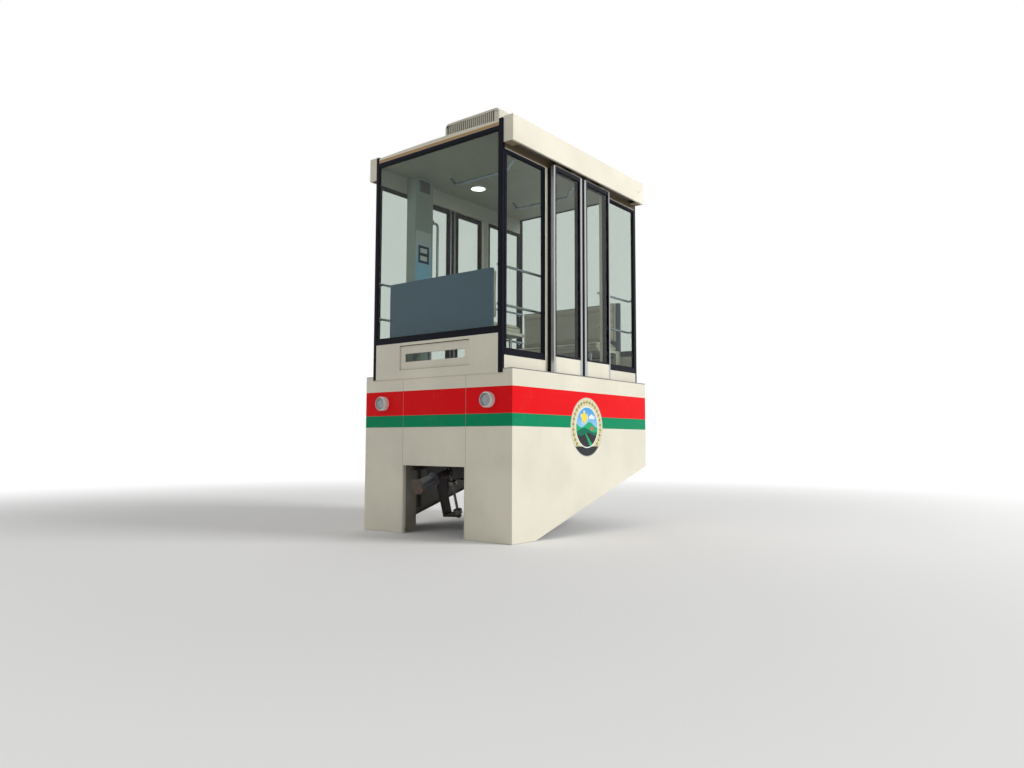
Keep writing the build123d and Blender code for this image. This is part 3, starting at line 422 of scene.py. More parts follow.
def radial(u: Field, v: Field) -> Field:
    """Distance from the origin across two parts: the root of the sum of their squares."""
    return (u * u + v * v).using("SQRT")


def from_dot(u: Field, v: Field, pitch: float) -> Field:
    """Distance from the nearest point of a square pattern, in pitches."""
    return radial(*(((part / pitch).past_whole().off(0.5)) for part in (u, v)))


def darker(colour: Colour, share: float) -> Colour:
    """A colour times a share."""
    return tuple(part * share for part in colour)


class Graph:
    """Adds nodes to one shader tree."""

    def __init__(self, tree: bpy.types.NodeTree) -> None:
        """Keep the tree."""
        self.tree = tree
        self._spot: bpy.types.NodeSocket | None = None

    def node(self, kind: str, inputs: dict | None = None, **settings: object) -> bpy.types.Node:
        """Add one node, with its settings and its inputs linked or given a value."""
        made = self.tree.nodes.new(kind)
        for key, value in settings.items():
            setattr(made, key, value)
        for key, value in (inputs or {}).items():
            self.feed(made.inputs[key], value)
        return made

    def feed(self, socket: bpy.types.NodeSocket, value: object) -> None:
        """Link a field or socket into an input, or set its value."""
        value = value.socket if isinstance(value, Field) else value
        if isinstance(value, bpy.types.NodeSocket):
            self.tree.links.new(value, socket)
        elif socket.type == "RGBA" and len(value) == 3:
            socket.default_value = (*value, 1.0)
        else:
            socket.default_value = value

    @property
    def spot(self) -> bpy.types.NodeSocket:
        """The point's own coordinates."""
        if self._spot is None:
            self._spot = self.node("ShaderNodeTexCoord").outputs["Object"]
        return self._spot

    def axes(self, vector: bpy.types.NodeSocket | None = None) -> tuple[Field, Field, Field]:
        """The three parts of a vector, by default of the point's coordinates."""
        parts = self.node("ShaderNodeSeparateXYZ", {0: vector or self.spot})
        return tuple(Field(self, out) for out in parts.outputs)

    def stretched(self, factors: Point | None) -> bpy.types.NodeSocket:
        """The point's coordinates, each times a factor."""
        if factors is None:
            return self.spot
        return self.node("ShaderNodeVectorMath", {0: self.spot, 1: factors}, operation="MULTIPLY").outputs[0]

    def noise(self, scale: Number, detail: float = 4.0, roughness: float = 0.55,
              stretch: Point | None = None) -> Field:
        """Cloudy noise round 0.5."""
        node = self.node("ShaderNodeTexNoise", {
            "Vector": self.stretched(stretch), "Scale": scale, "Detail": detail, "Roughness": roughness})
        return Field(self, node.outputs[0])

    def cells(self, scale: Number, feature: str = "F1") -> Field:
        """Distance inside random cells."""
        node = self.node("ShaderNodeTexVoronoi", {"Vector": self.spot, "Scale": scale}, feature=feature)
        return Field(self, node.outputs["Distance"])

    def ray(self, kind: str) -> Field:
        """1 for rays of one kind."""
        return Field(self, self.node("ShaderNodeLightPath").outputs[f"Is {kind} Ray"])

    def viewed(self) -> Field:
        """1 for rays from the camera, a mirror or a glass, 0 for rays that carry light."""
        return reduce(Field.most, [self.ray(kind) for kind in ("Camera", "Glossy", "Transmission")])

    def mix(self, factor: Number, low: object, high: object) -> bpy.types.NodeSocket:
        """Colour low where factor is 0, high where it is 1."""
        return self.node("ShaderNodeMix", {0: factor, 6: low, 7: high}, data_type="RGBA").outputs[2]

    def over(self, colour: object, *coats: tuple[Number, object]) -> object:
        """A colour with coats laid on it in turn, each where its own mask is 1."""
        return reduce(lambda under, coat: self.mix(coat[0], under, coat[1]), coats, colour)

    def blend(self, factor: Field, low: Number, high: Number) -> Field:
        """Number low where factor is 0, high where it is 1."""
        node = self.node("ShaderNodeMapRange", {0: factor, 3: low, 4: high}, clamp=True)
        return Field(self, node.outputs[0])

    def effect(self, group: Group, **values: float) -> dict[str, Field]:
        """Place a shared effect with its own values; gives its outputs by name."""
        node = self.node("ShaderNodeGroup", None, node_tree=group())
        for name, value in values.items():
            self.feed(node.inputs[name.capitalize()], value)
        return {out.name: Field(self, out) for out in node.outputs}


def shared(name: str, inputs: dict[str, float], *outputs: str) -> Callable:
    """Make a shared effect of the function below: a node group that is built once.

    Args:
        name: the group's name.
        inputs: its number inputs and their usual values.
        outputs: names of its outputs; Normal is a vector, Colour a colour, the others are numbers.

    Returns:
        What turns the function that fills the group into one that gives the group.
    """
    kinds = {"Normal": "Vector", "Colour": "Color"}

    def builder(fill: Callable[[Graph, dict[str, Field]], dict[str, object]]) -> Group:
        """Keep what fills the group until it is first asked for."""
        @cache
        def group() -> bpy.types.NodeTree:
            """Build the group with its sockets and nodes."""
            tree = bpy.data.node_groups.new(name, "ShaderNodeTree")
            sockets = tree.interface
            for label, value in inputs.items():
                sockets.new_socket(label, in_out="INPUT", socket_type="NodeSocketFloat").default_value = value
            for label in outputs:
                kind = f"NodeSocket{kinds.get(label, 'Float')}"
                sockets.new_socket(label, in_out="OUTPUT", socket_type=kind)
            graph = Graph(tree)
            given = graph.node("NodeGroupInput")
            results = fill(graph, {out.name: Field(graph, out) for out in given.outputs if out.name})
            graph.node("NodeGroupOutput", results)
            return tree
        return group
    return builder


@shared("Weathering", {"Scale": 3.0, "Low": -10.0, "High": -9.0}, "Dirt", "Runs", "Dust", "Patches")
def weathering(graph: Graph, given: dict[str, Field]) -> dict[str, object]:
    """Dirt in noise patches and splashed low down, rain runs on upright faces, dust on faces that look up."""
    up = graph.axes(graph.node("ShaderNodeNewGeometry").outputs["Normal"])[2]
    patches = graph.noise(given["Scale"], 8, 0.62)
    splash = graph.axes()[2].fall(given["Low"], given["High"])
    runs = graph.noise(1.0, 5, 0.6, (26, 26, 1.1)).rise(0.52, 0.78) * up.size().fall(0.3, 0.7)
    dust = up.rise(0.55, 0.95) * (graph.noise(9, 6, 0.65).rise(0.25, 0.8) * 0.8 + 0.2)
    dirt = patches.rise(0.48, 0.8) * 0.55 + splash * patches.rise(0.3, 0.72)
    return {"Dirt": dirt.least(1.0), "Runs": runs, "Dust": dust, "Patches": patches}


@shared("Softened edges", {"Radius": 0.002}, "Edge", "Normal")
def softened_edges(graph: Graph, given: dict[str, Field]) -> dict[str, object]:
    """Edges that catch the light as rounded ones do; wear grows with the angle they are turned by."""
    rounded = graph.node("ShaderNodeBevel", {"Radius": given["Radius"]}, samples=4).outputs[0]
    flat = graph.node("ShaderNodeNewGeometry").outputs["Normal"]
    dot = graph.node("ShaderNodeVectorMath", {0: rounded, 1: flat}, operation="DOT_PRODUCT")
    turned = 1 - Field(graph, dot.outputs["Value"])
    return {"Edge": turned.rise(0.015, 0.16) * graph.noise(34, 6, 0.7).rise(0.42, 0.62), "Normal": rounded}


@shared("Sprayed skin", {"Ripple": 420.0, "Wave": 4.5}, "Height")
def sprayed_skin(graph: Graph, given: dict[str, Field]) -> dict[str, object]:
    """The fine ripple of sprayed enamel over slightly wavy sheet."""
    return {"Height": graph.noise(given["Ripple"], 2, 0.5) * 0.06 + graph.noise(given["Wave"], 2, 0.4) * 0.94}


@shared("Fine scratches", {"Scale": 14.0}, "Mask")
def fine_scratches(graph: Graph, given: dict[str, Field]) -> dict[str, object]:
    """Thin wandering scratches in a few patches, where stretched noise crosses its middle value."""
    lines = [graph.noise(given["Scale"], 3, 0.5, stretch).off(0.5).fall(0.0015, 0.005)
             for stretch in ((2.2, 2.2, 0.35), (0.4, 0.5, 2.6))]
    return {"Mask": lines[0].most(lines[1]) * graph.noise(given["Scale"] * 0.35, 2, 0.5).rise(0.52, 0.66)}


@shared("Brushed lines", {"Lengthwise": 0.0}, "Lines")
def brushed_lines(graph: Graph, given: dict[str, Field]) -> dict[str, object]:
    """Long fine lines of drawn metal: noise stretched a hundredfold, upright or along the car."""
    upright, lengthwise = (graph.noise(9, 5, 0.7, stretch) for stretch in ((70, 70, 0.6), (0.6, 70, 70)))
    return {"Lines": graph.blend(given["Lengthwise"], upright, lengthwise)}


@shared("Hide grain", {"Scale": 480.0}, "Height", "Creases")
def hide_grain(graph: Graph, given: dict[str, Field]) -> dict[str, object]:
    """Pebbled grain of covered upholstery: random cells give pebbles, and their borders the creases."""
    pebble = graph.cells(given["Scale"], "SMOOTH_F1")
    creases = graph.cells(given["Scale"] * 0.6, "DISTANCE_TO_EDGE").fall(0.0, 0.09)
    fold = graph.noise(7, 5, 0.6)
    return {"Height": (1 - pebble) * 0.5 + fold * 0.5 - creases * 0.25, "Creases": creases}


@shared("Rusting", {"Scale": 6.0, "Amount": 0.5}, "Mask", "Tone", "Colour")
def rusting(graph: Graph, given: dict[str, Field]) -> dict[str, object]:
    """Rust where rough noise passes a level set by its amount, how bright it is, and its colour."""
    level = 0.82 - given["Amount"] * 0.5
    rough = graph.noise(given["Scale"], 9, 0.68) * 0.75 + graph.noise(given["Scale"] * 7, 4, 0.6) * 0.25
    tone = graph.noise(given["Scale"] * 3, 6, 0.7).rise(0.3, 0.75)
    return {"Mask": rough.rise(level - 0.05, level + 0.06), "Tone": tone,
            "Colour": graph.mix(tone, RUST_DARK, RUST_BRIGHT)}


@dataclass
class Layers:
    """What a finish puts into the shader: the bump's height is between 0 and 1 times its depth in metres."""

    colour: object
    roughness: Number = 0.5
    metallic: Number | None = None
    height: Field | None = None
    normal: Field | None = None
    glow: object = None
    depth: float = 0.0006


class Shader(Graph):
    """One material round its Principled shader."""

    def __init__(self, name: str) -> None:
        """Make the material."""
        self.material = bpy.data.materials.new(name)
        self.material.use_nodes = True
        super().__init__(self.material.node_tree)
        self.principled = self.tree.nodes["Principled BSDF"]

    def always(self, values: dict[str, object]) -> None:
        """Give the shader's own sockets what is the same all over, or link a layer into them."""
        for label, value in values.items():
            if value is not None:
                self.feed(self.principled.inputs[label], value)

    def surface(self, layers: Layers) -> bpy.types.Material:
        """Link the finished layers into the shader, and give the material."""
        self.always({"Base Color": layers.colour, "Roughness": layers.roughness, "Metallic": layers.metallic,
                     "Emission Color": layers.glow})
        if layers.height is not None:
            inputs = {"Height": layers.height, "Distance": layers.depth, "Strength": 1.0}
            if layers.normal is not None:
                inputs["Normal"] = layers.normal
            self.always({"Normal": self.node("ShaderNodeBump", inputs).outputs[0]})
        return self.material

    def clear_where(self, mask: object, tint: Colour = (1.0, 1.0, 1.0)) -> None:
        """Let light straight through, in a tint, where the mask is 1."""
        clear = self.node("ShaderNodeBsdfTransparent", {"Color": tint})
        both = self.node("ShaderNodeMixShader", {0: mask, 1: self.principled.outputs[0], 2: clear.outputs[0]})
        self.feed(self.tree.nodes["Material Output"].inputs["Surface"], both.outputs[0])


# Finishes

@dataclass(frozen=True)
class Coating:
    """A named finish; each kind of it fills in its own layers."""

    name: str

    def layers(self, shader: Shader) -> Layers:
        """What the finish puts into its shader."""
        raise NotImplementedError

    @cache
    def material(self) -> bpy.types.Material:
        """The finished material, made once."""
        shader = Shader(self.name)
        return shader.surface(self.layers(shader))


@dataclass(frozen=True)
class Enamel(Coating):
    """Sprayed enamel on sheet metal, with dirt, dust, scratches and worn edges."""

    colour: Colour
    roughness: float = 0.30
    specular: float = 0.09
    dirt: float = 0.10
    dust: float = 0.30
    runs: float = 0.05
    splash: Pair = (-10.0, -9.0)
    wear: float = 0.5
    worn: Colour = (0.36, 0.34, 0.30)
    edge_radius: float = 0.0022

    def pattern(self, shader: Shader) -> Layers:
        """Colour and gloss before weathering: one enamel, a little uneven."""
        faded = shader.noise(1.6, 3, 0.5).rise(0.3, 0.7)
        return Layers(shader.mix(faded, self.colour, darker(self.colour, 0.90)), self.roughness, depth=0.0016)

    def layers(self, shader: Shader) -> Layers:
        """The pattern over the skin's ripple, under dirt, runs of rain, dust, scratches and worn edges."""
        shader.always({"Specular IOR Level": self.specular})
        layers = self.pattern(shader)
        weather = shader.effect(weathering, low=self.splash[0], high=self.splash[1])
        edges = shader.effect(softened_edges, radius=self.edge_radius)
        scratched = shader.effect(fine_scratches)["Mask"]
        skin = shader.effect(sprayed_skin)["Height"]
        layers.colour = shader.over(
            layers.colour, (weather["Dirt"] * self.dirt, ROAD_DIRT), (weather["Runs"] * self.runs, ROAD_DIRT),
            (weather["Dust"] * self.dust, PALE_DUST), (scratched * 0.18, self.worn),
            (edges["Edge"] * self.wear, self.worn))
        rough = weather["Dirt"] * 0.25 + weather["Dust"] * 0.3 + scratched * 0.15 + weather["Patches"] * 0.08
        layers.roughness = (rough + layers.roughness).least(0.95)
        layers.height = skin if layers.height is None else skin + layers.height
        layers.normal = edges["Normal"]
        return layers


@dataclass(frozen=True)
class Badge:
    """A round painted badge on the right side: a patterned ring round a small landscape."""

    centre: Pair = (0.0, 0.245)
    radius: float = 0.262
    ring: float = 0.180
    marks: int = 30
    mark_line: float = 0.2215
    crisp: float = 0.0012
    ring_cream: Colour = (0.72, 0.66, 0.42)
    mark_gold: Colour = (0.20, 0.17, 0.035)
    haze: Colour = (0.30, 0.58, 0.80)
    sky: Colour = (0.10, 0.36, 0.72)
    cloud: Colour = (0.80, 0.85, 0.84)
    sun: Colour = (0.86, 0.70, 0.08)
    beams: Colour = (0.90, 0.80, 0.30)
    meadow: Colour = (0.02, 0.40, 0.17)
    hill: Colour = (0.008, 0.16, 0.09)
    ground: Colour = (0.035, 0.037, 0.042)
    roof: Colour = (0.70, 0.12, 0.09)
    rim: Colour = (0.55, 0.56, 0.52)
    clouds: tuple[tuple[float, float, float], ...] = (
        (0.075, 0.095, 0.026), (0.105, 0.088, 0.021), (0.048, 0.086, 0.018))

    def painted(self, shader: Shader, under: object) -> tuple[object, Field]:
        """Paint the badge over a colour.

        Distance r and angle a from the middle place the ring and its marks; the hills are sine lines
        across the disc, the sun and clouds are round spots.

        Args:
            shader: the material being built.
            under: the colour that the badge lies on.

        Returns:
            The colour with the badge, and the badge's rim as a height.
        """
        x, y, z = shader.axes()
        across, up = x - self.centre[0], z - self.centre[1]
        r = radial(across, up)
        turn = up.using("ARCTAN2", across) * (self.marks / FULL_TURN)

        def spot(u: float, v: float, size: float, flat: float = 1.0) -> Field:
            """Mask of an oval spot."""
            return radial(across - u, (up - v) * flat).fall(size - self.crisp, size + self.crisp)

        def below(level: float, swing: float, waves: float, shift: float) -> Field:
            """Mask of what lies under a sine line."""
            line = (across * waves + shift).using("SINE") * swing + level
            return (up - line).fall(-self.crisp, self.crisp)

        low_land = below(-0.062, 0.014, 26.0, 1.0)
        path = (across + up * 0.9 + 0.075).size() - (up * -0.16)
        picture = shader.over(
            shader.mix(up.rise(-0.02, 0.16), self.haze, self.sky),
            (spot(-0.045, 0.085, 0.062) * (turn * 0.5).past_whole().within(0.3, 0.7, 0.08), self.beams),
            (spot(-0.045, 0.085, 0.042), self.sun),
            *((spot(u, v, size, 1.3), self.cloud) for u, v, size in self.clouds),
            (below(0.022, 0.024, 24.0, 0.6), self.meadow), (below(-0.026, 0.020, 19.0, 2.4), self.hill),
            (spot(0.082, -0.012, 0.020), self.roof), (low_land, self.ground),
            (low_land * path.fall(-0.001, 0.001), self.meadow))
        mark = turn.past_whole().off(0.5) / 0.30 + r.off(self.mark_line) / 0.021
        pip = (turn + 0.5).past_whole().off(0.5) / 0.16 + r.off(self.mark_line) / 0.009
        marks = mark.fall(0.92, 1.06).most(pip.fall(0.9, 1.1))
        whole = shader.over(
            self.ring_cream, (marks * 0.85, self.mark_gold), (up.fall(-0.172, -0.168), self.ground),
            (r.fall(self.ring - 0.001, self.ring + 0.001), picture),
            (r.within(self.ring - 0.005, self.ring + 0.004, 0.0008), self.cloud),
            (r.within(self.radius - 0.008, self.radius, 0.0008), self.rim))
        on_side = (y * -1.0).rise(0.8493, 0.8497) * r.fall(self.radius - 0.0008, self.radius + 0.0008)
        return shader.mix(on_side, under, whole), on_side


@dataclass(frozen=True)
class CoachEnamel(Enamel):
    """The skirt's ivory with the red and the green stripe and the badge."""

    red: Pair = (0.340, 0.555)
    green: Pair = (0.2375, 0.340)
    seams: Pair = (0.3635, 0.3675)
    outer: Pair = (1.0775, 0.8495)

    def pattern(self, shader: Shader) -> Layers:
        """Stripes by height on the outer faces only, a painted highlight along each seam, painted shade on
        the inner faces, then the badge.
        """
        layers = super().pattern(shader)
        x, y, z = shader.axes()
        long, wide = x.size(), y.size()
        reaches = zip((long, wide), self.outer)
        outside = reduce(Field.most, [part.rise(reach - 0.0004, reach) for part, reach in reaches])
        inside = (1 - outside) * (1 - long.rise(1.044, 1.046).most(wide.rise(0.8485, 0.8490)))
        colour = shader.over(
            layers.colour, (outside * z.within(*self.red), STRIPE_RED),
            (outside * z.within(*self.green), STRIPE_GREEN),
            # painted highlight: a lighter line where light catches each seam's fold
            (wide.within(*self.seams) * long.rise(1.070, 1.072) * 0.20, (0.80, 0.79, 0.72)),
            # painted shade: the inner faces near black, for the shade inside the skirt
            (inside * 0.85, (0.10, 0.10, 0.098)))
        layers.colour, badge = Badge().painted(shader, colour)
        layers.height = badge * 0.35
        return layers


@dataclass(frozen=True)
class CoverEnamel(Enamel):
    """The door cover's ivory, dark brown inside, partly its own brown and partly painted shade, with a flush
    screw near both its ends.
    """

    screws: Pair = (0.985, 2.640)
    skin: Pair = (0.0049, 0.0045)
    inner: Colour = (0.085, 0.062, 0.042)
    closing: Colour = (0.30, 0.235, 0.15)
    screw_ring: Colour = (0.12, 0.11, 0.10)

    def pattern(self, shader: Shader) -> Layers:
        """Ivory on the outer sheet, dark brown on what looks inwards, partly painted shade under the cover, a
        small dark ring for each screw.
        """
        layers = super().pattern(shader)
        x, y, z = shader.axes()
        cover = Extent.of("door_cover_left")
        reaches = zip((y.size(), z, x.size()), (cover.high.y, cover.high.z, cover.high.x))
        inner, outer = self.skin
        shell = reduce(Field.most, [part.rise(reach - inner, reach - outer) for part, reach in reaches])
        low = cover.low.z
        lip = y.size().rise(cover.high.y - 0.0205, cover.high.y - 0.0200) * z.fall(low + 0.0010, low + 0.0014)
        plates = x.size().rise(0.96, 0.961) * z.fall(low + 0.006, low + 0.007) * (1 - shell)
        ring = radial(x - self.screws[0], z - self.screws[1]).off(0.007)
        # painted shade: the inner faces' dark brown is deepened for the shade under the cover
        layers.colour = shader.over(
            shader.mix(shell.most(lip), self.inner, layers.colour), (plates * (1 - lip), self.closing),
            (ring.fall(0.0012, 0.0022) * shell, self.screw_ring))
        return layers


@dataclass(frozen=True)
class PanelEnamel(Enamel):
    """End panel: ivory, with painted light along its recess: painted shade along the top edge, the olive tint
    of the lit bottom edge along the bottom.
    """

    recess: tuple[float, float, float] = (0.408, 0.740, 0.955)
    recess_top_shade: Colour = (0.085, 0.050, 0.030)
    recess_bottom_tint: Colour = (0.17, 0.14, 0.05)

    def pattern(self, shader: Shader) -> Layers:
        """A dark brown line of painted shade above the recess and an olive line of painted light below it, on
        the outer face only.
        """
        layers = super().pattern(shader)
        x, y, z = shader.axes()
        half, low, high = self.recess
        across = y.size().fall(half, half + 0.001) * x.size().rise(1.070, 1.072)
        top = z.within(high - 0.0030, high + 0.0005) * across
        bottom = z.within(low - 0.0005, low + 0.0020) * across
        # painted shade where the recess's top edge faces down, painted light where its bottom edge faces up
        layers.colour = shader.over(layers.colour, (top, self.recess_top_shade), (bottom * 0.7, self.recess_bottom_tint))
        layers.height = top.most(bottom) * -0.5
        return layers


@dataclass(frozen=True)
class WallEnamel(Enamel):
    """Side wall: ivory, with painted shade: dark brown on the strip behind the door track, greyer inside."""

    header: float = 2.4905
    lining_in_shade: Colour = (0.46, 0.46, 0.40)
    shaded: Colour = (0.115, 0.088, 0.055)

    def pattern(self, shader: Shader) -> Layers:
        """Painted shade: the strip above the windows is dark brown on its outer face, with a soft lower
        border, and the inner face is greyer.
        """
        layers = super().pattern(shader)
        _, y, z = shader.axes()
        outer = y.size().rise(0.7515, 0.7521)
        layers.colour = shader.over(
            # painted shade: the inner face greyer, for the shade inside the cabin
            layers.colour, (y.size().fall(INSIDE_WALL + 0.0002, INSIDE_WALL + 0.0008), self.lining_in_shade),
            # painted shade: dark brown on the outer header strip, for the shadow under the door cover, fading
            # out below it
            (outer * z.rise(self.header, self.header + 0.0012), self.shaded),
            (outer * z.rise(self.header - 0.12, self.header) * 0.25, self.shaded))
        return layers


@dataclass(frozen=True)
class RoofEnamel(Enamel):
    """Roof pan: ivory outside, a panelled ceiling inside, its grey darkened as painted shade."""

    ceiling: Colour = (0.46, 0.46, 0.38)
    joint: Colour = (0.30, 0.31, 0.27)
    joints: Pair = (0.355, 0.240)

    def pattern(self, shader: Shader) -> Layers:
        """The ceiling colour below the wall heads, with the joints of its panels."""
        layers = super().pattern(shader)
        x, y, z = shader.axes()
        inside = z.fall(2.668, 2.674) * x.size().fall(1.0588, 1.0596)
        line = x.size().off(self.joints[0]).least(y.size().off(self.joints[1])).fall(0.0016, 0.0028)
        # painted shade: the ceiling grey is darkened for the shade inside the cabin
        layers.colour = shader.mix(inside, layers.colour, shader.mix(line, self.ceiling, self.joint))
        layers.roughness = shader.blend(inside, self.roughness, 0.42)
        layers.height = line * inside * -0.4
        return layers


@dataclass(frozen=True)
class CoolerEnamel(Enamel):
    """Cooler housing, with painted shade at the back of its bars, and the joint of its lid."""

    bar_shade: Colour = (0.05, 0.052, 0.045)
    joint: Colour = (0.10, 0.095, 0.08)

    def pattern(self, shader: Shader) -> Layers:
        """Painted shade darkens the bars inwards; a fine joint runs along both sides under the lid."""
        layers = super().pattern(shader)
        x, y, z = shader.axes()
        box = Extent.of("roof_cooler")
        away, reach = x.off(box.centre.x), box.size.x / 2
        # painted shade: darker towards the back of the bars, where shade falls between them
        behind = away.fall(reach - 0.020, reach - 0.004) * away.rise(reach - 0.024, reach - 0.0235)
        behind *= y.size().fall(0.302, 0.303) * z.within(box.low.z + 0.04, box.high.z - 0.022, 0.002)
        joint = z.within(box.low.z + 0.056, box.low.z + 0.0585, 0.0006) * y.size().rise(0.328, 0.329)
        layers.colour = shader.over(layers.colour, (behind * 0.8, self.bar_shade), (joint * 0.6, self.joint))
        layers.height = joint * -0.5
        return layers


@dataclass(frozen=True)
class LeafFinish(Enamel):
    """Door leaf: drawn aluminium, black glass border, top rail in painted shade, ivory kick panel, rubber
    nose, plated hangers.
    """

    metal: Colour = (0.60, 0.61, 0.62)
    # tan-grey of the top rail: painted shade under the door cover
    rail: Colour = (0.27, 0.235, 0.18)
    nose: Colour = (0.014, 0.014, 0.015)
    hanger: Colour = (0.42, 0.40, 0.34)
    border: float = 0.017
    head: float = 2.5020

    def pattern(self, shader: Shader) -> Layers:
        """Each zone of the leaf by its distance from mid length and its height."""
        layers = super().pattern(shader)
        x, _, z = shader.axes()
        glass = Extent.of("door_glass_left_uphill")
        along, edge = x.size(), self.border
        near, far, low = glass.low.x, glass.high.x, glass.low.z
        lines = shader.effect(brushed_lines)["Lines"]
        kick = along.within(near - 0.002, far + 0.002) * z.fall(low - edge, low - edge + 0.001)
        border = along.within(near - edge, far + edge) * z.rise(low - edge, low - edge + 0.001) * (1 - kick)
        border *= z.fall(self.head + 0.0005, self.head + 0.0010)
        nose, hanger = along.fall(0.0200, 0.0206), z.rise(2.5096, 2.5104)
        metal = shader.mix(lines, darker(self.metal, 0.82), self.metal)
        layers.colour = shader.over(
            # painted shade on the top rail, under the door cover
            metal, (z.rise(self.head, self.head + 0.0015), self.rail), (kick, layers.colour),
            (border, FRAME_BLACK), (nose, self.nose), (hanger, self.hanger))
        bare = ((1 - kick) * (1 - border) * (1 - nose)).most(hanger)
        layers.metallic = bare * 0.9
        layers.roughness = shader.blend(bare, self.roughness, lines * 0.22 + 0.24)
        joint = along.off(near).least(along.off(far)).rise(0.0006, 0.0016)
        layers.height = joint * z.fall(low, low + 0.001) * 0.4 + lines * bare * 0.05
        return layers


@dataclass(frozen=True)
class Metal(Coating):
    """Bare, plated or drawn metal, smudged and a little tarnished."""

    colour: Colour
    roughness: float = 0.22
    brushing: float = 0.2
    lengthwise: float = 0.0
    tarnish: float = 0.25
    rust: float = 0.0
    grease: float = 0.0

    def layers(self, shader: Shader) -> Layers:
        """Drawn lines under tarnish, dust, rust and grease."""
        lines = shader.effect(brushed_lines, lengthwise=self.lengthwise)["Lines"]
        weather = shader.effect(weathering, scale=9.0)
        edges = shader.effect(softened_edges, radius=0.0012)
        scratched = shader.effect(fine_scratches, scale=30.0)["Mask"]
        rust = shader.effect(rusting, scale=14.0, amount=self.rust)
        eaten = rust["Mask"] * (1.0 if self.rust else 0.0)
        oily = weather["Patches"].rise(0.42, 0.60) * self.grease
        colour = shader.over(
            self.colour, (weather["Dirt"] * self.tarnish, darker(self.colour, 0.45)),
            (weather["Dust"] * 0.2, PALE_DUST), (eaten, rust["Colour"]), (oily, (0.018, 0.015, 0.012)))
        brushed = lines * self.brushing
        rough = brushed + weather["Patches"] * 0.14 + scratched * 0.2 + eaten * 0.5 + self.roughness
        height = brushed * 0.25 + eaten * shader.noise(120, 5, 0.7) * 0.9 - scratched * 0.2
        metallic = (1 - eaten * 0.85) * (1 - oily * 0.9) * 0.96
        return Layers(colour, rough.least(0.95), metallic, height, edges["Normal"])


@dataclass(frozen=True)
class SectionSteel(Coating):
    """Painted structural steel under the car: chipped, rusty at its edges, splashed and greasy."""

    colour: Colour
    rust: float = 0.5
    roughness: float = 0.5

    def layers(self, shader: Shader) -> Layers:
        """Uneven paint, rust from the edges inwards, then dirt and dust."""
        weather = shader.effect(weathering, scale=5.0, low=-0.5, high=0.5)
        edges = shader.effect(softened_edges, radius=0.003)
        rust = shader.effect(rusting, scale=7.0, amount=self.rust)
        eaten = rust["Mask"].most(edges["Edge"] * (0.4 + self.rust * 0.6))
        colour = shader.over(
            self.colour, (weather["Patches"].rise(0.3, 0.7), darker(self.colour, 0.7)),
            (eaten, rust["Colour"]), (weather["Dirt"] * 0.5, ROAD_DIRT), (weather["Dust"] * 0.5, PALE_DUST))
        height = (shader.noise(260, 4, 0.6) * 0.15 + eaten * shader.noise(150, 6, 0.75) * 0.8
                  + weather["Patches"] * 0.15)
        rough = eaten * 0.35 + weather["Dirt"] * 0.2 + self.roughness
        return Layers(colour, rough.least(0.96), None, height, edges["Normal"], depth=0.0009)


@dataclass(frozen=True)
class Moulded(Coating):
    """Rubber or moulded plastic with a fine matt texture."""

    colour: Colour
    roughness: float = 0.6
    grain: float = 700.0
    chalk: float = 0.2

    def layers(self, shader: Shader) -> Layers:
        """A fine pebbled skin that goes chalky in patches and at its edges."""
        shader.always({"Specular IOR Level": 0.2})
        weather = shader.effect(weathering, scale=6.0)
        edges = shader.effect(softened_edges, radius=0.0015)
        bloom = tuple(min(1.0, part * 1.9 + 0.02) for part in self.colour)
        colour = shader.over(
            self.colour, (weather["Dirt"] * self.chalk, bloom), (weather["Dust"] * 0.25, PALE_DUST),
            (edges["Edge"] * self.chalk, bloom))
        height = shader.cells(self.grain, "SMOOTH_F1") * 0.7 + shader.noise(40, 4, 0.6) * 0.5
        rough = weather["Patches"] * 0.2 + weather["Dust"] * 0.2 + self.roughness
        return Layers(colour, rough.least(0.97), None, height, edges["Normal"], depth=0.00025)


@dataclass(frozen=True)
class CoveredHide(Coating):
    """Cream upholstery cover with grain, soft sheen and a shade of handling."""

    colour: Colour
    handled: Colour = (0.26, 0.22, 0.17)

    def layers(self, shader: Shader) -> Layers:
        """Grain with darker creases, handled patches and a slow change of shade."""
        shader.always({"Sheen Weight": 0.12, "Sheen Roughness": 0.5})
        grain = shader.effect(hide_grain)
        weather = shader.effect(weathering, scale=4.0)
        shade = darker(self.colour, 0.72)
        colour = shader.over(
            self.colour, (grain["Creases"] * 0.35, shade), (weather["Dirt"] * 0.30, self.handled),
            (weather["Patches"].rise(0.35, 0.75) * 0.35, shade))
        rough = grain["Creases"] * 0.12 + weather["Patches"] * 0.18 + 0.36
        return Layers(colour, rough, None, grain["Height"], depth=0.0007)


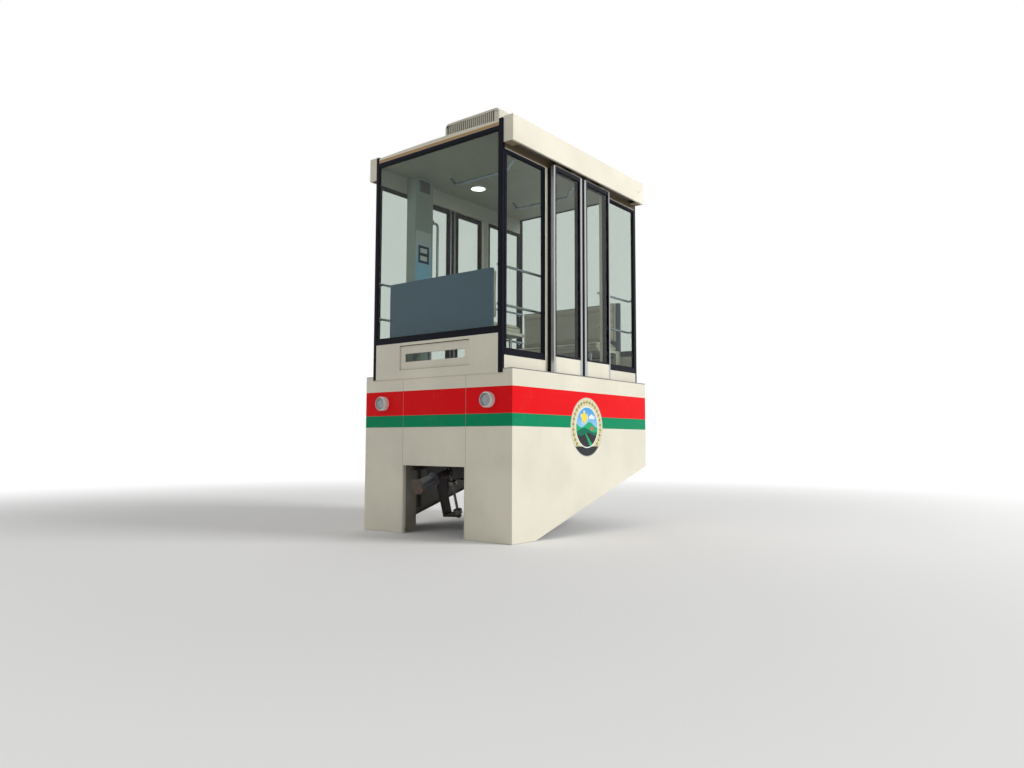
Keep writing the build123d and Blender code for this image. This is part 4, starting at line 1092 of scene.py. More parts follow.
@dataclass(frozen=True)
class BenchFinish(Coating):
    """Bench base: slate-blue board, ivory laminate pan and panels, plated tubes."""

    board: Colour = (0.103, 0.168, 0.235)
    laminate: Colour = (0.62, 0.60, 0.51)
    plated: Colour = (0.50, 0.52, 0.54)
    scratch: Colour = (0.30, 0.33, 0.35)
    rubbed: Colour = (0.42, 0.43, 0.42)

    def layers(self, shader: Shader) -> Layers:
        """The zones of the bench by distance from mid length, height and side."""
        shader.always({"Specular IOR Level": 0.2})
        x, y, z = shader.axes()
        low = Extent.of("bench_uphill").low.z
        weather = shader.effect(weathering, scale=4.0, low=low, high=low + 0.12)
        edges = shader.effect(softened_edges, radius=0.002)
        scratched = shader.effect(fine_scratches, scale=22.0)["Mask"]
        board = x.size().rise(1.0074, 1.0078) * z.rise(0.9895, 0.9899)
        tubes = y.size().fall(0.530, 0.532) * z.fall(1.0044, 1.0048)
        colour = shader.over(
            self.laminate, (board, self.board), (tubes, self.plated), (weather["Dirt"] * 0.30, ROAD_DIRT),
            (scratched * 0.25, self.scratch), (edges["Edge"] * 0.25, self.rubbed))
        rough = shader.blend(tubes, 0.38, 0.16) + weather["Patches"] * 0.15 + shader.noise(420, 2, 0.5) * 0.08
        return Layers(colour, rough, tubes * 0.95, weather["Patches"] * 0.2, edges["Normal"], depth=0.0004)


@dataclass(frozen=True)
class FloorFinish(Coating):
    """Speckled sheet flooring with small raised studs above, primed plate below."""

    sheet: Colour = (0.17, 0.185, 0.175)
    speckle: Colour = (0.36, 0.37, 0.35)
    trodden: Colour = (0.27, 0.24, 0.19)
    stud: Colour = (0.30, 0.31, 0.30)
    primer: Colour = (0.20, 0.20, 0.19)
    pitch: float = 0.025

    def layers(self, shader: Shader) -> Layers:
        """Speckles and studs on top, trodden along the aisle, primer elsewhere."""
        x, y, z = shader.axes()
        weather = shader.effect(weathering, scale=3.5)
        rust = shader.effect(rusting, scale=5.0, amount=0.3)
        top = z.rise(0.6885, 0.6893)
        aisle = shader.noise(2.4, 6, 0.65).rise(0.4, 0.75) * y.size().fall(0.25, 0.75)
        speck = shader.cells(240.0).rise(0.05, 0.25)
        sheet = shader.over(shader.mix(speck, self.speckle, self.sheet), (aisle * 0.55, self.trodden))
        under = shader.over(self.primer, (rust["Mask"], rust["Colour"]), (weather["Dirt"] * 0.6, ROAD_DIRT))
        studs = from_dot(x, y, self.pitch).fall(0.26, 0.36) * top
        colour = shader.over(under, (top, sheet), (studs * 0.25, self.stud))
        rough = shader.blend(top, 0.75, 0.52) + weather["Patches"] * 0.15
        return Layers(colour, rough, None, studs * 0.9 + shader.noise(300, 3, 0.6) * 0.1, depth=0.0009)


@dataclass(frozen=True)
class WheelFinish(Coating):
    """Running wheel: dark tread worn on its rolling face, painted dish, bright axle."""

    end: str
    paint: Colour = (0.055, 0.060, 0.066)
    rubber: Colour = (0.020, 0.019, 0.018)
    rolled: Colour = (0.11, 0.095, 0.08)
    axle: Colour = (0.46, 0.44, 0.41)

    def layers(self, shader: Shader) -> Layers:
        """The zones of the wheel by distance from its axle."""
        x, _, z = shader.axes()
        centre = Extent.of(f"running_wheel_{self.end}").centre
        r = radial(x - centre.x, z - centre.z)
        weather = shader.effect(weathering, scale=11.0)
        rust = shader.effect(rusting, scale=16.0, amount=0.55)
        tread, axle = r.rise(0.0698, 0.0703), r.fall(0.0203, 0.0206)
        worn = r.rise(0.0893, 0.0899) * shader.noise(30, 5, 0.6).rise(0.3, 0.6)
        colour = shader.over(
            self.paint, (rust["Mask"], rust["Colour"]), (tread, shader.mix(worn, self.rubber, self.rolled)),
            (axle, self.axle), (weather["Dirt"] * 0.4, ROAD_DIRT))
        rough = shader.blend(tread, 0.55, 0.82) + weather["Patches"] * 0.1
        height = shader.noise(90, 6, 0.7) * tread + rust["Mask"] * shader.noise(200, 5, 0.7) * 0.6
        return Layers(colour, rough, axle * 0.9, height, depth=0.0008)


@dataclass(frozen=True)
class BufferFinish(Coating):
    """Buffer: worn brown-grey head, silver barrel, dark rod."""

    rod: Colour = (0.018, 0.017, 0.018)
    barrel: Colour = (0.13, 0.145, 0.18)
    head: tuple[Colour, Colour] = ((0.055, 0.040, 0.035), (0.115, 0.082, 0.068))

    def layers(self, shader: Shader) -> Layers:
        """The zones of the buffer by distance along the slope."""
        x, _, z = shader.axes()
        s = (x * math.cos(INCLINE) + z * math.sin(INCLINE)).size()
        weather = shader.effect(weathering, scale=8.0)
        edges = shader.effect(softened_edges, radius=0.002)
        rust = shader.effect(rusting, scale=12.0, amount=0.5)
        head = s.rise(1.2685, 1.2690)
        barrel = s.within(1.0750, 1.2688) * (1 - head)
        eaten = rust["Mask"].most(edges["Edge"] * 0.6) * 0.8
        colour = shader.over(self.rod, (barrel, self.barrel), (head, shader.mix(rust["Tone"], *self.head)),
                             (eaten, rust["Colour"]), (weather["Dirt"] * 0.4, ROAD_DIRT))
        rough = shader.blend(barrel, 0.62, 0.34) + eaten * 0.3
        height = shader.noise(60, 4, 0.6, (0.4, 1, 1)) * 0.3 + eaten * 0.5
        return Layers(colour, rough, barrel * (1 - eaten) * 0.8, height, edges["Normal"])


@dataclass(frozen=True)
class Glass(Coating):
    """Grey-green safety glass with a film of dust and old wipe marks; light passes it in shadows."""

    # the tint is deepened partly as painted shade, to darken the cabin seen through the glass
    tint: Colour = (0.70, 0.75, 0.715)
    film: float = 0.05

    def layers(self, shader: Shader) -> Layers:
        """Wipe marks and rain runs in the gloss, a slow wave in the pane."""
        shader.always({"Transmission Weight": 1.0, "IOR": 1.22, "Metallic": 0.0})
        shader.clear_where(shader.ray("Shadow"), darker(self.tint, 0.97))
        runs = shader.noise(1.0, 4, 0.6, (34, 34, 1.3)).rise(0.55, 0.8)
        colour = shader.mix(runs * 0.10, self.tint, darker(self.tint, 0.86))
        rough = shader.noise(3.0, 7, 0.62, (1.0, 1.0, 0.4)).rise(0.5, 0.85) * self.film + runs * 0.03
        return Layers(colour, rough, None, shader.noise(2.2, 1, 0.5), depth=0.0004)


@dataclass(frozen=True)
class Lit(Coating):
    """A lit lamp's opal cover, brightest in its middle."""

    strength: float
    centre: Pair
    radius: float

    def layers(self, shader: Shader) -> Layers:
        """The glow fades towards the rim; the cover is a little speckled."""
        shader.always({"Emission Strength": self.strength})
        x, y, _ = shader.axes()
        away = radial(x - self.centre[0], y - self.centre[1])
        glow = shader.mix(away.rise(self.radius * 0.5, self.radius), (1.0, 0.99, 0.96), (0.80, 0.79, 0.75))
        speck = shader.noise(60, 5, 0.6)
        colour = shader.mix(speck.rise(0.6, 0.8), (0.85, 0.85, 0.83), (0.72, 0.71, 0.67))
        return Layers(colour, speck * 0.2 + 0.3, None, speck, None, glow, 0.0002)


@dataclass(frozen=True)
class SheetPrint(Coating):
    """A blank pale-blue sheet that fades at its top, a little mottled."""

    low: float
    high: float

    def layers(self, shader: Shader) -> Layers:
        """Blue to grey by height, under a mottled bloom."""
        shader.always({"Coat Weight": 0.3, "Coat Roughness": 0.15})
        mottled = shader.noise(18, 5, 0.6)
        fade = shader.axes()[2].rise(self.low + 0.12, self.high)
        colour = shader.over((0.16, 0.42, 0.60), (fade, (0.47, 0.53, 0.50)),
                             (mottled.rise(0.45, 0.75) * 0.25, (0.50, 0.56, 0.56)))
        return Layers(colour, mottled * 0.2 + 0.3, None, mottled, depth=0.0002)


@dataclass(frozen=True)
class SpeakerFinish(Coating):
    """Speaker front: rows of small holes in grey moulding, their darkness painted shade."""

    colour: Colour = (0.10, 0.095, 0.115)
    dusty: Colour = (0.22, 0.21, 0.21)
    hole_shade: Colour = (0.008, 0.008, 0.009)
    pitch: float = 0.0065
    rim: float = 0.013

    def layers(self, shader: Shader) -> Layers:
        """Holes at a fixed pitch inside the rim."""
        x, _, z = shader.axes()
        box = Extent.of("wall_speaker")
        holes = from_dot(x, z, self.pitch).fall(0.22, 0.32)
        for part, axis in ((x, 0), (z, 2)):
            reach = box.size[axis] / 2 - self.rim
            holes *= part.off(box.centre[axis]).fall(reach, reach + 0.001)
        dust = shader.noise(24, 5, 0.6)
        # painted shade: the holes near black, for the shade inside them
        colour = shader.over(self.colour, (dust.rise(0.45, 0.8) * 0.3, self.dusty), (holes, self.hole_shade))
        height = 1 - holes + shader.noise(500, 2, 0.5) * 0.1
        return Layers(colour, dust * 0.2 + 0.45, None, height, depth=0.001)


class Finish(Enum):
    """The car's finishes."""

    COACH = CoachEnamel("coach_enamel", IVORY, splash=(-0.80, -0.30), dirt=0.05, runs=0.02)
    PANEL = PanelEnamel("panel_enamel", IVORY)
    WALL = WallEnamel("wall_enamel", IVORY)
    COVER = CoverEnamel("cover_enamel", IVORY, runs=0.06)
    ROOF = RoofEnamel("roof_enamel", IVORY, dust=0.55, dirt=0.25)
    COOLER = CoolerEnamel("cooler_enamel", (0.74, 0.72, 0.61), roughness=0.42, dust=0.3, dirt=0.2)
    FIN = Enamel("cooler_core", (0.022, 0.024, 0.021), roughness=0.7, specular=0.05, dust=0.2)
    LEAF = LeafFinish("leaf_finish", IVORY)
    BLACK = Enamel("frame_black", FRAME_BLACK, roughness=0.30, specular=0.08, dirt=0.10, dust=0.35, wear=0.18,
                   worn=(0.06, 0.065, 0.08))
    LINING = Enamel("lining_enamel", (0.20, 0.20, 0.19), roughness=0.5, splash=(-0.7, 0.3), dirt=0.5)
    ARCH = Enamel("arch_enamel", (0.30, 0.285, 0.25), roughness=0.5, splash=(-0.7, 0.3), dirt=0.5)
    CABINET = Enamel("cabinet_enamel", (0.34, 0.41, 0.375), roughness=0.36, dirt=0.15)
    BEZEL = Enamel("bezel_white", (0.86, 0.86, 0.84), roughness=0.25, dirt=0.2, edge_radius=0.003)
    DRIVE = Enamel("drive_paint", (0.075, 0.115, 0.13), roughness=0.42, dirt=0.8, dust=0.6, wear=0.8,
                   worn=(0.16, 0.11, 0.08), splash=(-0.5, 0.6))
    SILL = Metal("sill_metal", (0.30, 0.30, 0.30), 0.34, 0.25, 1.0, 0.5)
    TRACK = Metal("track_steel", (0.40, 0.39, 0.36), 0.36, 0.2, 1.0, 0.5, 0.25, 0.2)
    BRIGHT = Metal("bright_steel", (0.58, 0.58, 0.57), 0.24, 0.2, 0.0, 0.3)
    # the chrome's dark blue-grey is partly painted reflection of the sky
    RAIL = Metal("rail_chrome", (0.34, 0.40, 0.45), 0.14, 0.05, 0.0, 0.2)
    ROLLER = Metal("roller_steel", (0.28, 0.27, 0.26), 0.34, 0.15, 0.0, 0.5, 0.40, 0.55)
    PINION = Metal("pinion_steel", (0.36, 0.34, 0.32), 0.34, 0.15, 0.0, 0.5, 0.35, 0.7)
    MIRROR = Metal("lamp_mirror", (0.30, 0.32, 0.33), 0.12, 0.0, 0.0, 0.5)
    BOLT = Metal("zinc_bolts", (0.32, 0.31, 0.29), 0.34, 0.05, 0.0, 0.4, 0.35)
    LIP = Enamel("roof_lip", (0.46, 0.33, 0.22), dirt=0.3)
    GOLD = Metal("roof_trim", (0.34, 0.225, 0.10), 0.40, 0.2, 0.0, 0.5)
    STEEL = SectionSteel("frame_steel", (0.028, 0.031, 0.035), 0.32)
    CARRIER = SectionSteel("carrier_steel", (0.022, 0.022, 0.024), 0.38)
    RUBBER = Moulded("window_rubber", (0.006, 0.006, 0.007), 0.5, 500.0, 0.05)
    INSULATOR = Moulded("insulator", (0.19, 0.060, 0.028), 0.5, 500.0, 0.4)
    HIDE = CoveredHide("cushion_hide", (0.60, 0.555, 0.45))
    PIPING = CoveredHide("piping_hide", (0.30, 0.265, 0.20))
    BENCH = BenchFinish("bench_finish")
    FLOOR = FloorFinish("floor_finish")
    WHEEL_DOWNHILL = WheelFinish("wheel_finish_downhill", "downhill")
    WHEEL_UPHILL = WheelFinish("wheel_finish_uphill", "uphill")
    BUFFER = BufferFinish("buffer_finish")
    GLASS = Glass("car_glass")
    LENS = Glass("lens_glass", (0.93, 0.94, 0.93), 0.02)
    SPEAKER = SpeakerFinish("speaker_finish")


# Pieces

def mesh_of(name: str, surface: Surface) -> bpy.types.Mesh:
    """A surface as a mesh, with points at one place welded and faces turned outwards."""
    mesh = bpy.data.meshes.new(name)
    mesh.from_pydata(surface.points.tolist(), [], surface.faces.tolist())
    shell = bmesh.new()
    shell.from_mesh(mesh)
    bmesh.ops.remove_doubles(shell, verts=shell.verts, dist=2e-5)
    bmesh.ops.dissolve_degenerate(shell, edges=shell.edges, dist=1e-6)
    bmesh.ops.recalc_face_normals(shell, faces=shell.faces)
    shell.to_mesh(mesh)
    shell.free()
    return mesh


def placed(name: str, data: bpy.types.ID) -> bpy.types.Object:
    """A new object in the scene with a mesh, lamp or camera in it."""
    made = bpy.data.objects.new(name, data)
    bpy.context.scene.collection.objects.link(made)
    return made


def piece(name: str, surface: Surface, finish: Finish | Coating, body: str = "car",
          stands_for: Sequence[str] = (), sharp: float = 34.0) -> None:
    """Turn a surface into a finished piece that rides on a body.

    Args:
        name: the piece's name.
        surface: its points and faces.
        finish: its finish.
        body: the body that it rides on.
        stands_for: nodes that it replaces.
        sharp: angle in degrees past which an edge stays sharp.
    """
    mesh = mesh_of(name, surface)
    mesh.shade_smooth()
    mesh.set_sharp_from_angle(angle=math.radians(sharp))
    mesh.materials.append((finish.value if isinstance(finish, Finish) else finish).material())
    made = placed(name, mesh)
    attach(made, body)
    if stands_for:
        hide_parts(*stands_for)
    log.info("%s: %d faces on %s", name, len(mesh.polygons), body)


def dress(finish: Finish, *nodes: str) -> None:
    """Give nodes of the frame a finish."""
    for node in nodes:
        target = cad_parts[node]
        if not target.material_slots:
            target.data.materials.append(None)
        for place in target.material_slots:
            place.material = finish.value.material()
        log.info("%s: %s", node, finish.name)


def named(stem: str, *groups: Iterable[str]) -> list[str]:
    """Names that start with a stem, one for each choice of a word from every group."""
    return ["_".join((stem, *words)) for words in product(*groups)]


@dataclass
class Skirt:
    """Skirt panels, sills, arch and what stiffens them inside."""

    hem_width: float = 0.026
    hem: float = 0.003
    hem_clear: float = 0.027
    rib_width: float = 0.046
    rib_depth: float = 0.020
    rib_sheet: float = 0.0025
    rib_top: float = 0.562
    rib_places: tuple[float, ...] = (-0.80, -0.40, 0.0, 0.40, 0.80)
    rivet_pitch: float = 0.12
    flat: float = 0.310
    sill_screws: int = 9
    sill_screw_y: float = 0.7625

    def build(self) -> None:
        """Dress the panels, stiffen them and screw the sills down."""
        dress(Finish.COACH, *named("skirt_side", SIDES), *named("skirt_end", ENDS))
        dress(Finish.ARCH, "arch_linings")
        dress(Finish.SILL, "door_sills")
        side = Extent.of("skirt_side_left")
        self.stiffeners(side)
        reach, top = side.high.x - 0.06, Extent.of("door_sills").high.z - 0.0001
        places = [(x, self.sill_screw_y, top) for x in np.linspace(-reach, reach, self.sill_screws)]
        piece("sill_screws", pan_screw(0.0045, 0.0016).copied(places).both(), Finish.BRIGHT)

    def stiffeners(self, side: Extent) -> None:
        """A hem along each side panel's bottom edge and ribs of hat section above it, with their rivets."""
        inner, knee, stop = side.low.y - 0.0002, self.flat - side.high.x, side.high.x - self.hem_clear

        def bottom(x: float) -> float:
            """Height of the panel's bottom edge: level up to the knee, then along the slope."""
            return side.low.z + max(0.0, SLOPE * (x - knee))

        hem = carried(((0, 0), (0, self.hem_width), (-self.hem, self.hem_width), (-self.hem, 0)),
                      [(x, inner, bottom(x) + 0.0004) for x in (-stop, knee, stop)], (0, -1, 0))
        w, d, t = self.rib_width / 2, self.rib_depth, self.rib_sheet
        half = np.array([(w, 0), (w, t), (w - 0.012, t), (w - 0.014, d)])
        hat = np.concatenate([half * (-1, 1), half[::-1]])
        ribs = [carried(hat, [(x, inner, z) for z in (bottom(x) + 0.045, self.rib_top)], (0, -1, 0))
                for x in self.rib_places]
        piece("skirt_stiffeners", join(hem, *ribs).both(), Finish.LINING)
        rivets = [(x + off, inner - 0.0026, z) for x in self.rib_places for off in (0.006 - w, w - 0.006)
                  for z in np.arange(bottom(x) + 0.08, self.rib_top - 0.012, self.rivet_pitch)]
        rivet = pan_screw(0.004, 0.002).facing("y", -1)
        piece("stiffener_rivets", rivet.copied(rivets).both(), Finish.BOLT)


@dataclass
class Cabin:
    """Walls, end panels, roof, floor."""

    trim_base: float = 2.6772
    post_pin: Pair = (0.735, 2.7348)
    seam_half: float = 0.70
    seam_x: float = 0.86
    crown: float = 0.014

    def build(self) -> None:
        """Dress the shell and add the roof trim and seams."""
        dress(Finish.PANEL, *named("end_panel", ENDS))
        dress(Finish.WALL, *named("side_wall", SIDES))
        dress(Finish.ROOF, "roof_panel")
        dress(Finish.FLOOR, "floor_deck")
        dress(Finish.STEEL, "floor_frame")
        self.roof_trim()
        self.roof_seams()

    def roof_trim(self) -> None:
        """A tan lip and a brown-gold strip along the roof's front and rear edge, and pins on the posts."""
        reach, base = Extent.of("roof_panel").high.x, self.trim_base
        half = Extent.of("windscreen_frame_uphill").high.y - 0.041
        for name, finish, low, high, out in (
                ("roof_lip", Finish.LIP, 0.0, 0.013, 0.0022),
                ("roof_trim", Finish.GOLD, 0.013, 0.029, 0.0010)):
            corners = (reach + out - 0.010, -half, base + low), (reach + out, half, base + high)
            piece(name, soft_block(*corners, 0.002, 2).both(0), finish)
        pin = revolved(((0, 0), (0.006, 0), (0.006, 0.003), (0.003, 0.004), (0.003, 0.012), (0, 0.0125)), 14)
        pins = pin.moved((reach - 0.010, *self.post_pin)).both(0).both()
        piece("post_pins", pins, Finish.BOLT)

    def roof_seams(self) -> None:
        """Raised sealed seams across the crowned pan: a low half-round carried along the crown's arc."""
        roof, beside_cooler = Extent.of("roof_panel"), Extent.of("roof_cooler").high.x + 0.16
        y = np.linspace(-self.seam_half, self.seam_half, 25)
        crown = roof.high.z - self.crown * (y / roof.high.y) ** 2 - 0.0008
        profile = arc(np.linspace(0, math.pi, 5), 0.009, 0.0045)
        seam = carried(profile, np.column_stack([0 * y, y, crown]), (0, 0, 1))
        places = [(x, 0, 0) for x in (-self.seam_x, beside_cooler, self.seam_x)]
        piece("roof_seams", seam.copied(places), Finish.ROOF)


@dataclass
class Glazing:
    """Windows: glass, black surrounds and the rubber that holds each pane."""

    lip: float = 0.011
    stand: float = 0.005

    def build(self) -> None:
        """Dress frames and panes, and lay the rubber on both faces of each pane."""
        dress(Finish.BLACK, *named("windscreen_frame", ENDS), "side_window_frames")
        dress(Finish.GLASS, "windscreens", "side_window_glass", "slot_windows")
        for axis, name in enumerate(("windscreens", "side_window_glass")):
            strips = [self.gasket(pane, axis, way) for pane in solids(name) for way in (-1.0, 1.0)]
            piece(f"{name}_rubber", join(*strips), Finish.RUBBER)

    def gasket(self, pane: Extent, axis: int, way: float) -> Surface:
        """A half-round strip near the edge of one face of a pane, its flat side on the glass."""
        half, inset = pane.size / 2, self.lip / 2
        profile = arc(np.linspace(0, math.pi, 6), inset, self.stand)
        strip = framed(profile, (half[1 - axis] - inset, half.z - inset), axis, way)
        return strip.moved(pane.centre).moved(np.eye(3)[axis] * half[axis] * way)


@dataclass
class Doors:
    """Sliding leaves, their glass beads and hangers, the track and its cover."""

    bead: float = 0.013
    hanger_face: float = 0.8022
    hanger_bolts_x: tuple[float, ...] = (0.088, 0.158, 0.323, 0.393)
    hanger_bolts_z: tuple[float, ...] = (2.526, 2.548)
    ribs_x: Pair = (0.966, 1.070)
    ribs_y: Pair = (0.760, 0.822)
    seal_x: float = 0.4465
    seal_top: float = 2.4885
    seal: tuple[Pair, ...] = (
        (-0.018, 0), (-0.018, 0.008), (-0.010, 0.012), (-0.004, 0.024), (0.000, 0.0245), (0.004, 0.024),
        (0.006, 0.012), (0.018, 0.008), (0.018, 0))

    def build(self) -> None:
        """Dress the leaves and covers and add beads, hanger bolts, the cover's ribs and the seals."""
        dress(Finish.LEAF, *named("door_leaf", SIDES, ENDS))
        dress(Finish.GLASS, *named("door_glass", SIDES, ENDS))
        dress(Finish.COVER, *named("door_cover", SIDES))
        dress(Finish.TRACK, "door_tracks")
        for side, end in product(SIDES, ENDS):
            self.glass_beads(f"{side}_{end}")
            self.hanger_bolts(f"{side}_{end}", SIDES[side], ENDS[end])
        self.cover_ribs()
        self.seals()

    def seals(self) -> None:
        """Black lipped seals down the wall beside each doorway, behind the leaves' outer stiles; their black
        also stands for the leaves' shadow on the wall.
        """
        wall, low = Extent.of("side_wall_left").high.y - 0.0002, Extent.of("door_sills").high.z + 0.004
        seal = carried(self.seal, [(0, wall, low), (0, wall, self.seal_top)], (0, 1, 0))
        seals = seal.copied([(-self.seal_x, 0, 0), (self.seal_x, 0, 0)])
        # the black seals are partly a real seal and partly painted shadow of the leaves
        piece("door_seals", seals.both(), Finish.RUBBER)

    def glass_beads(self, name: str) -> None:
        """Black bead round each face of a leaf's pane: a chamfered strip carried round the opening."""
        pane, leaf = Extent.of(f"door_glass_{name}"), Extent.of(f"door_leaf_{name}")
        half = pane.size / 2
        beads = []
        for way, face, rim in ((1.0, pane.high.y, leaf.high.y), (-1.0, pane.low.y, leaf.low.y)):
            depth, width = abs(rim - face) - 0.0008, -self.bead * way
            profile = ((0, 0), (0, depth), (width * 0.6, depth), (width, depth * 0.6), (width, 0))
            strip = framed(profile, (half.x, half.z), 1, way)
            beads.append(strip.moved((pane.centre.x, face, pane.centre.z)))
        piece(f"glass_bead_{name}", join(*beads), Finish.RUBBER, f"leaf_{name}")

    def hanger_bolts(self, name: str, side: float, end: float) -> None:
        """Bolts through each hanger plate, between its rollers."""
        spots = product(self.hanger_bolts_x, self.hanger_bolts_z)
        places = [(end * x, side * self.hanger_face, z) for x, z in spots]
        bolts = hex_bolt(0.005, 0.0045).facing("y", side).copied(places)
        piece(f"hanger_bolts_{name}", bolts, Finish.BOLT, f"leaf_{name}")

    def cover_ribs(self) -> None:
        """Ribbed closing plates under both ends of each cover."""
        low = Extent.of("door_cover_left").low.z
        near, far = self.ribs_x
        rib = soft_block((near, -0.003, low - 0.0035), (far, 0.003, low + 0.0005), 0.0015, 2)
        ribs = rib.copied([(0, y, 0) for y in np.linspace(*self.ribs_y, 6)])
        piece("cover_ribs", ribs.both(0).both(), Finish.COVER)


@dataclass
class HeadLamps:
    """Lamps at both ends: bezel, faceted reflector, mirror collar round it, lens over both."""

    lens_radius: float = 0.0568
    seat_radius: float = 0.0500
    seat_depth: float = 0.0140
    facet: float = 0.0175
    rib_across: float = 0.0085
    rib_up: float = 0.017

    def build(self) -> None:
        """Dress the bezels and put reflector and lens in place of the plain lens."""
        dress(Finish.BEZEL, "lamp_bezels")
        lamps = [(lens.sign(0), lens) for lens in solids("lamp_lenses")]
        seats = [(way, ((lens.low if way > 0 else lens.high).x, *lens.centre.yz)) for way, lens in lamps]
        for name, part, finish, slot, nodes, sharp in (
                ("lamp_reflectors", join(self.reflector(), self.collar()), Finish.MIRROR, "lens", (), 14),
                ("lamp_rims", self.rim(), Finish.BRIGHT, "lamp_white", (), 34),
                ("lamp_glasses", self.lens(), Finish.LENS, "lens", ("lamp_lenses",), 50)):
            parts = [part.facing("x", way).moved(seat) for way, seat in seats]
            piece(name, join(*parts), finish, stands_for=nodes, sharp=sharp)

    def lens(self) -> Surface:
        """A shallow dome with a ribbed front.

        The dome falls with the square of the distance from its middle; the ribs are sines of the place
        across and up, and fade out towards the edge.
        """
        radius = self.lens_radius - 0.0012
        u, v = spread(radius, 20, 64)
        share = (u * u + v * v) / radius ** 2
        dome = self.seat_depth + 0.0055 - 0.0025 * share
        across, up = np.sin(u * FULL_TURN / self.rib_across), np.sin(v * FULL_TURN / self.rib_up)
        ribs = (0.0006 * across + 0.0004 * up) * (1 - share ** 3) * 0.8
        return disc(u, v, dome + ribs, dome - 0.0020)

    def reflector(self) -> Surface:
        """A disc of pillow-shaped facets: |sin| across times |sin| up, one pillow for each pitch."""
        u, v = spread(self.seat_radius, 34, 96)
        across, up = np.sin(math.pi * u / self.facet), np.sin(math.pi * (v / self.facet + 0.5))
        return disc(u, v, 0.0050 + 0.0030 * np.abs(across * up), 0.0002)

    def collar(self) -> Surface:
        """The mirrored collar between the seat and the rim: a thin flat ring on the bezel's face."""
        low = self.seat_depth + 0.0002
        return band(self.seat_radius - 0.001, self.lens_radius, low, low + 0.0006, 64)

    def rim(self) -> Surface:
        """The rolled ring that holds the lens: a round section turned about the lamp's axis."""
        section = arc(np.linspace(0, FULL_TURN, 13), 0.0014)
        return revolved(section + (self.lens_radius - 0.0004, self.seat_depth + 0.0020), 48)


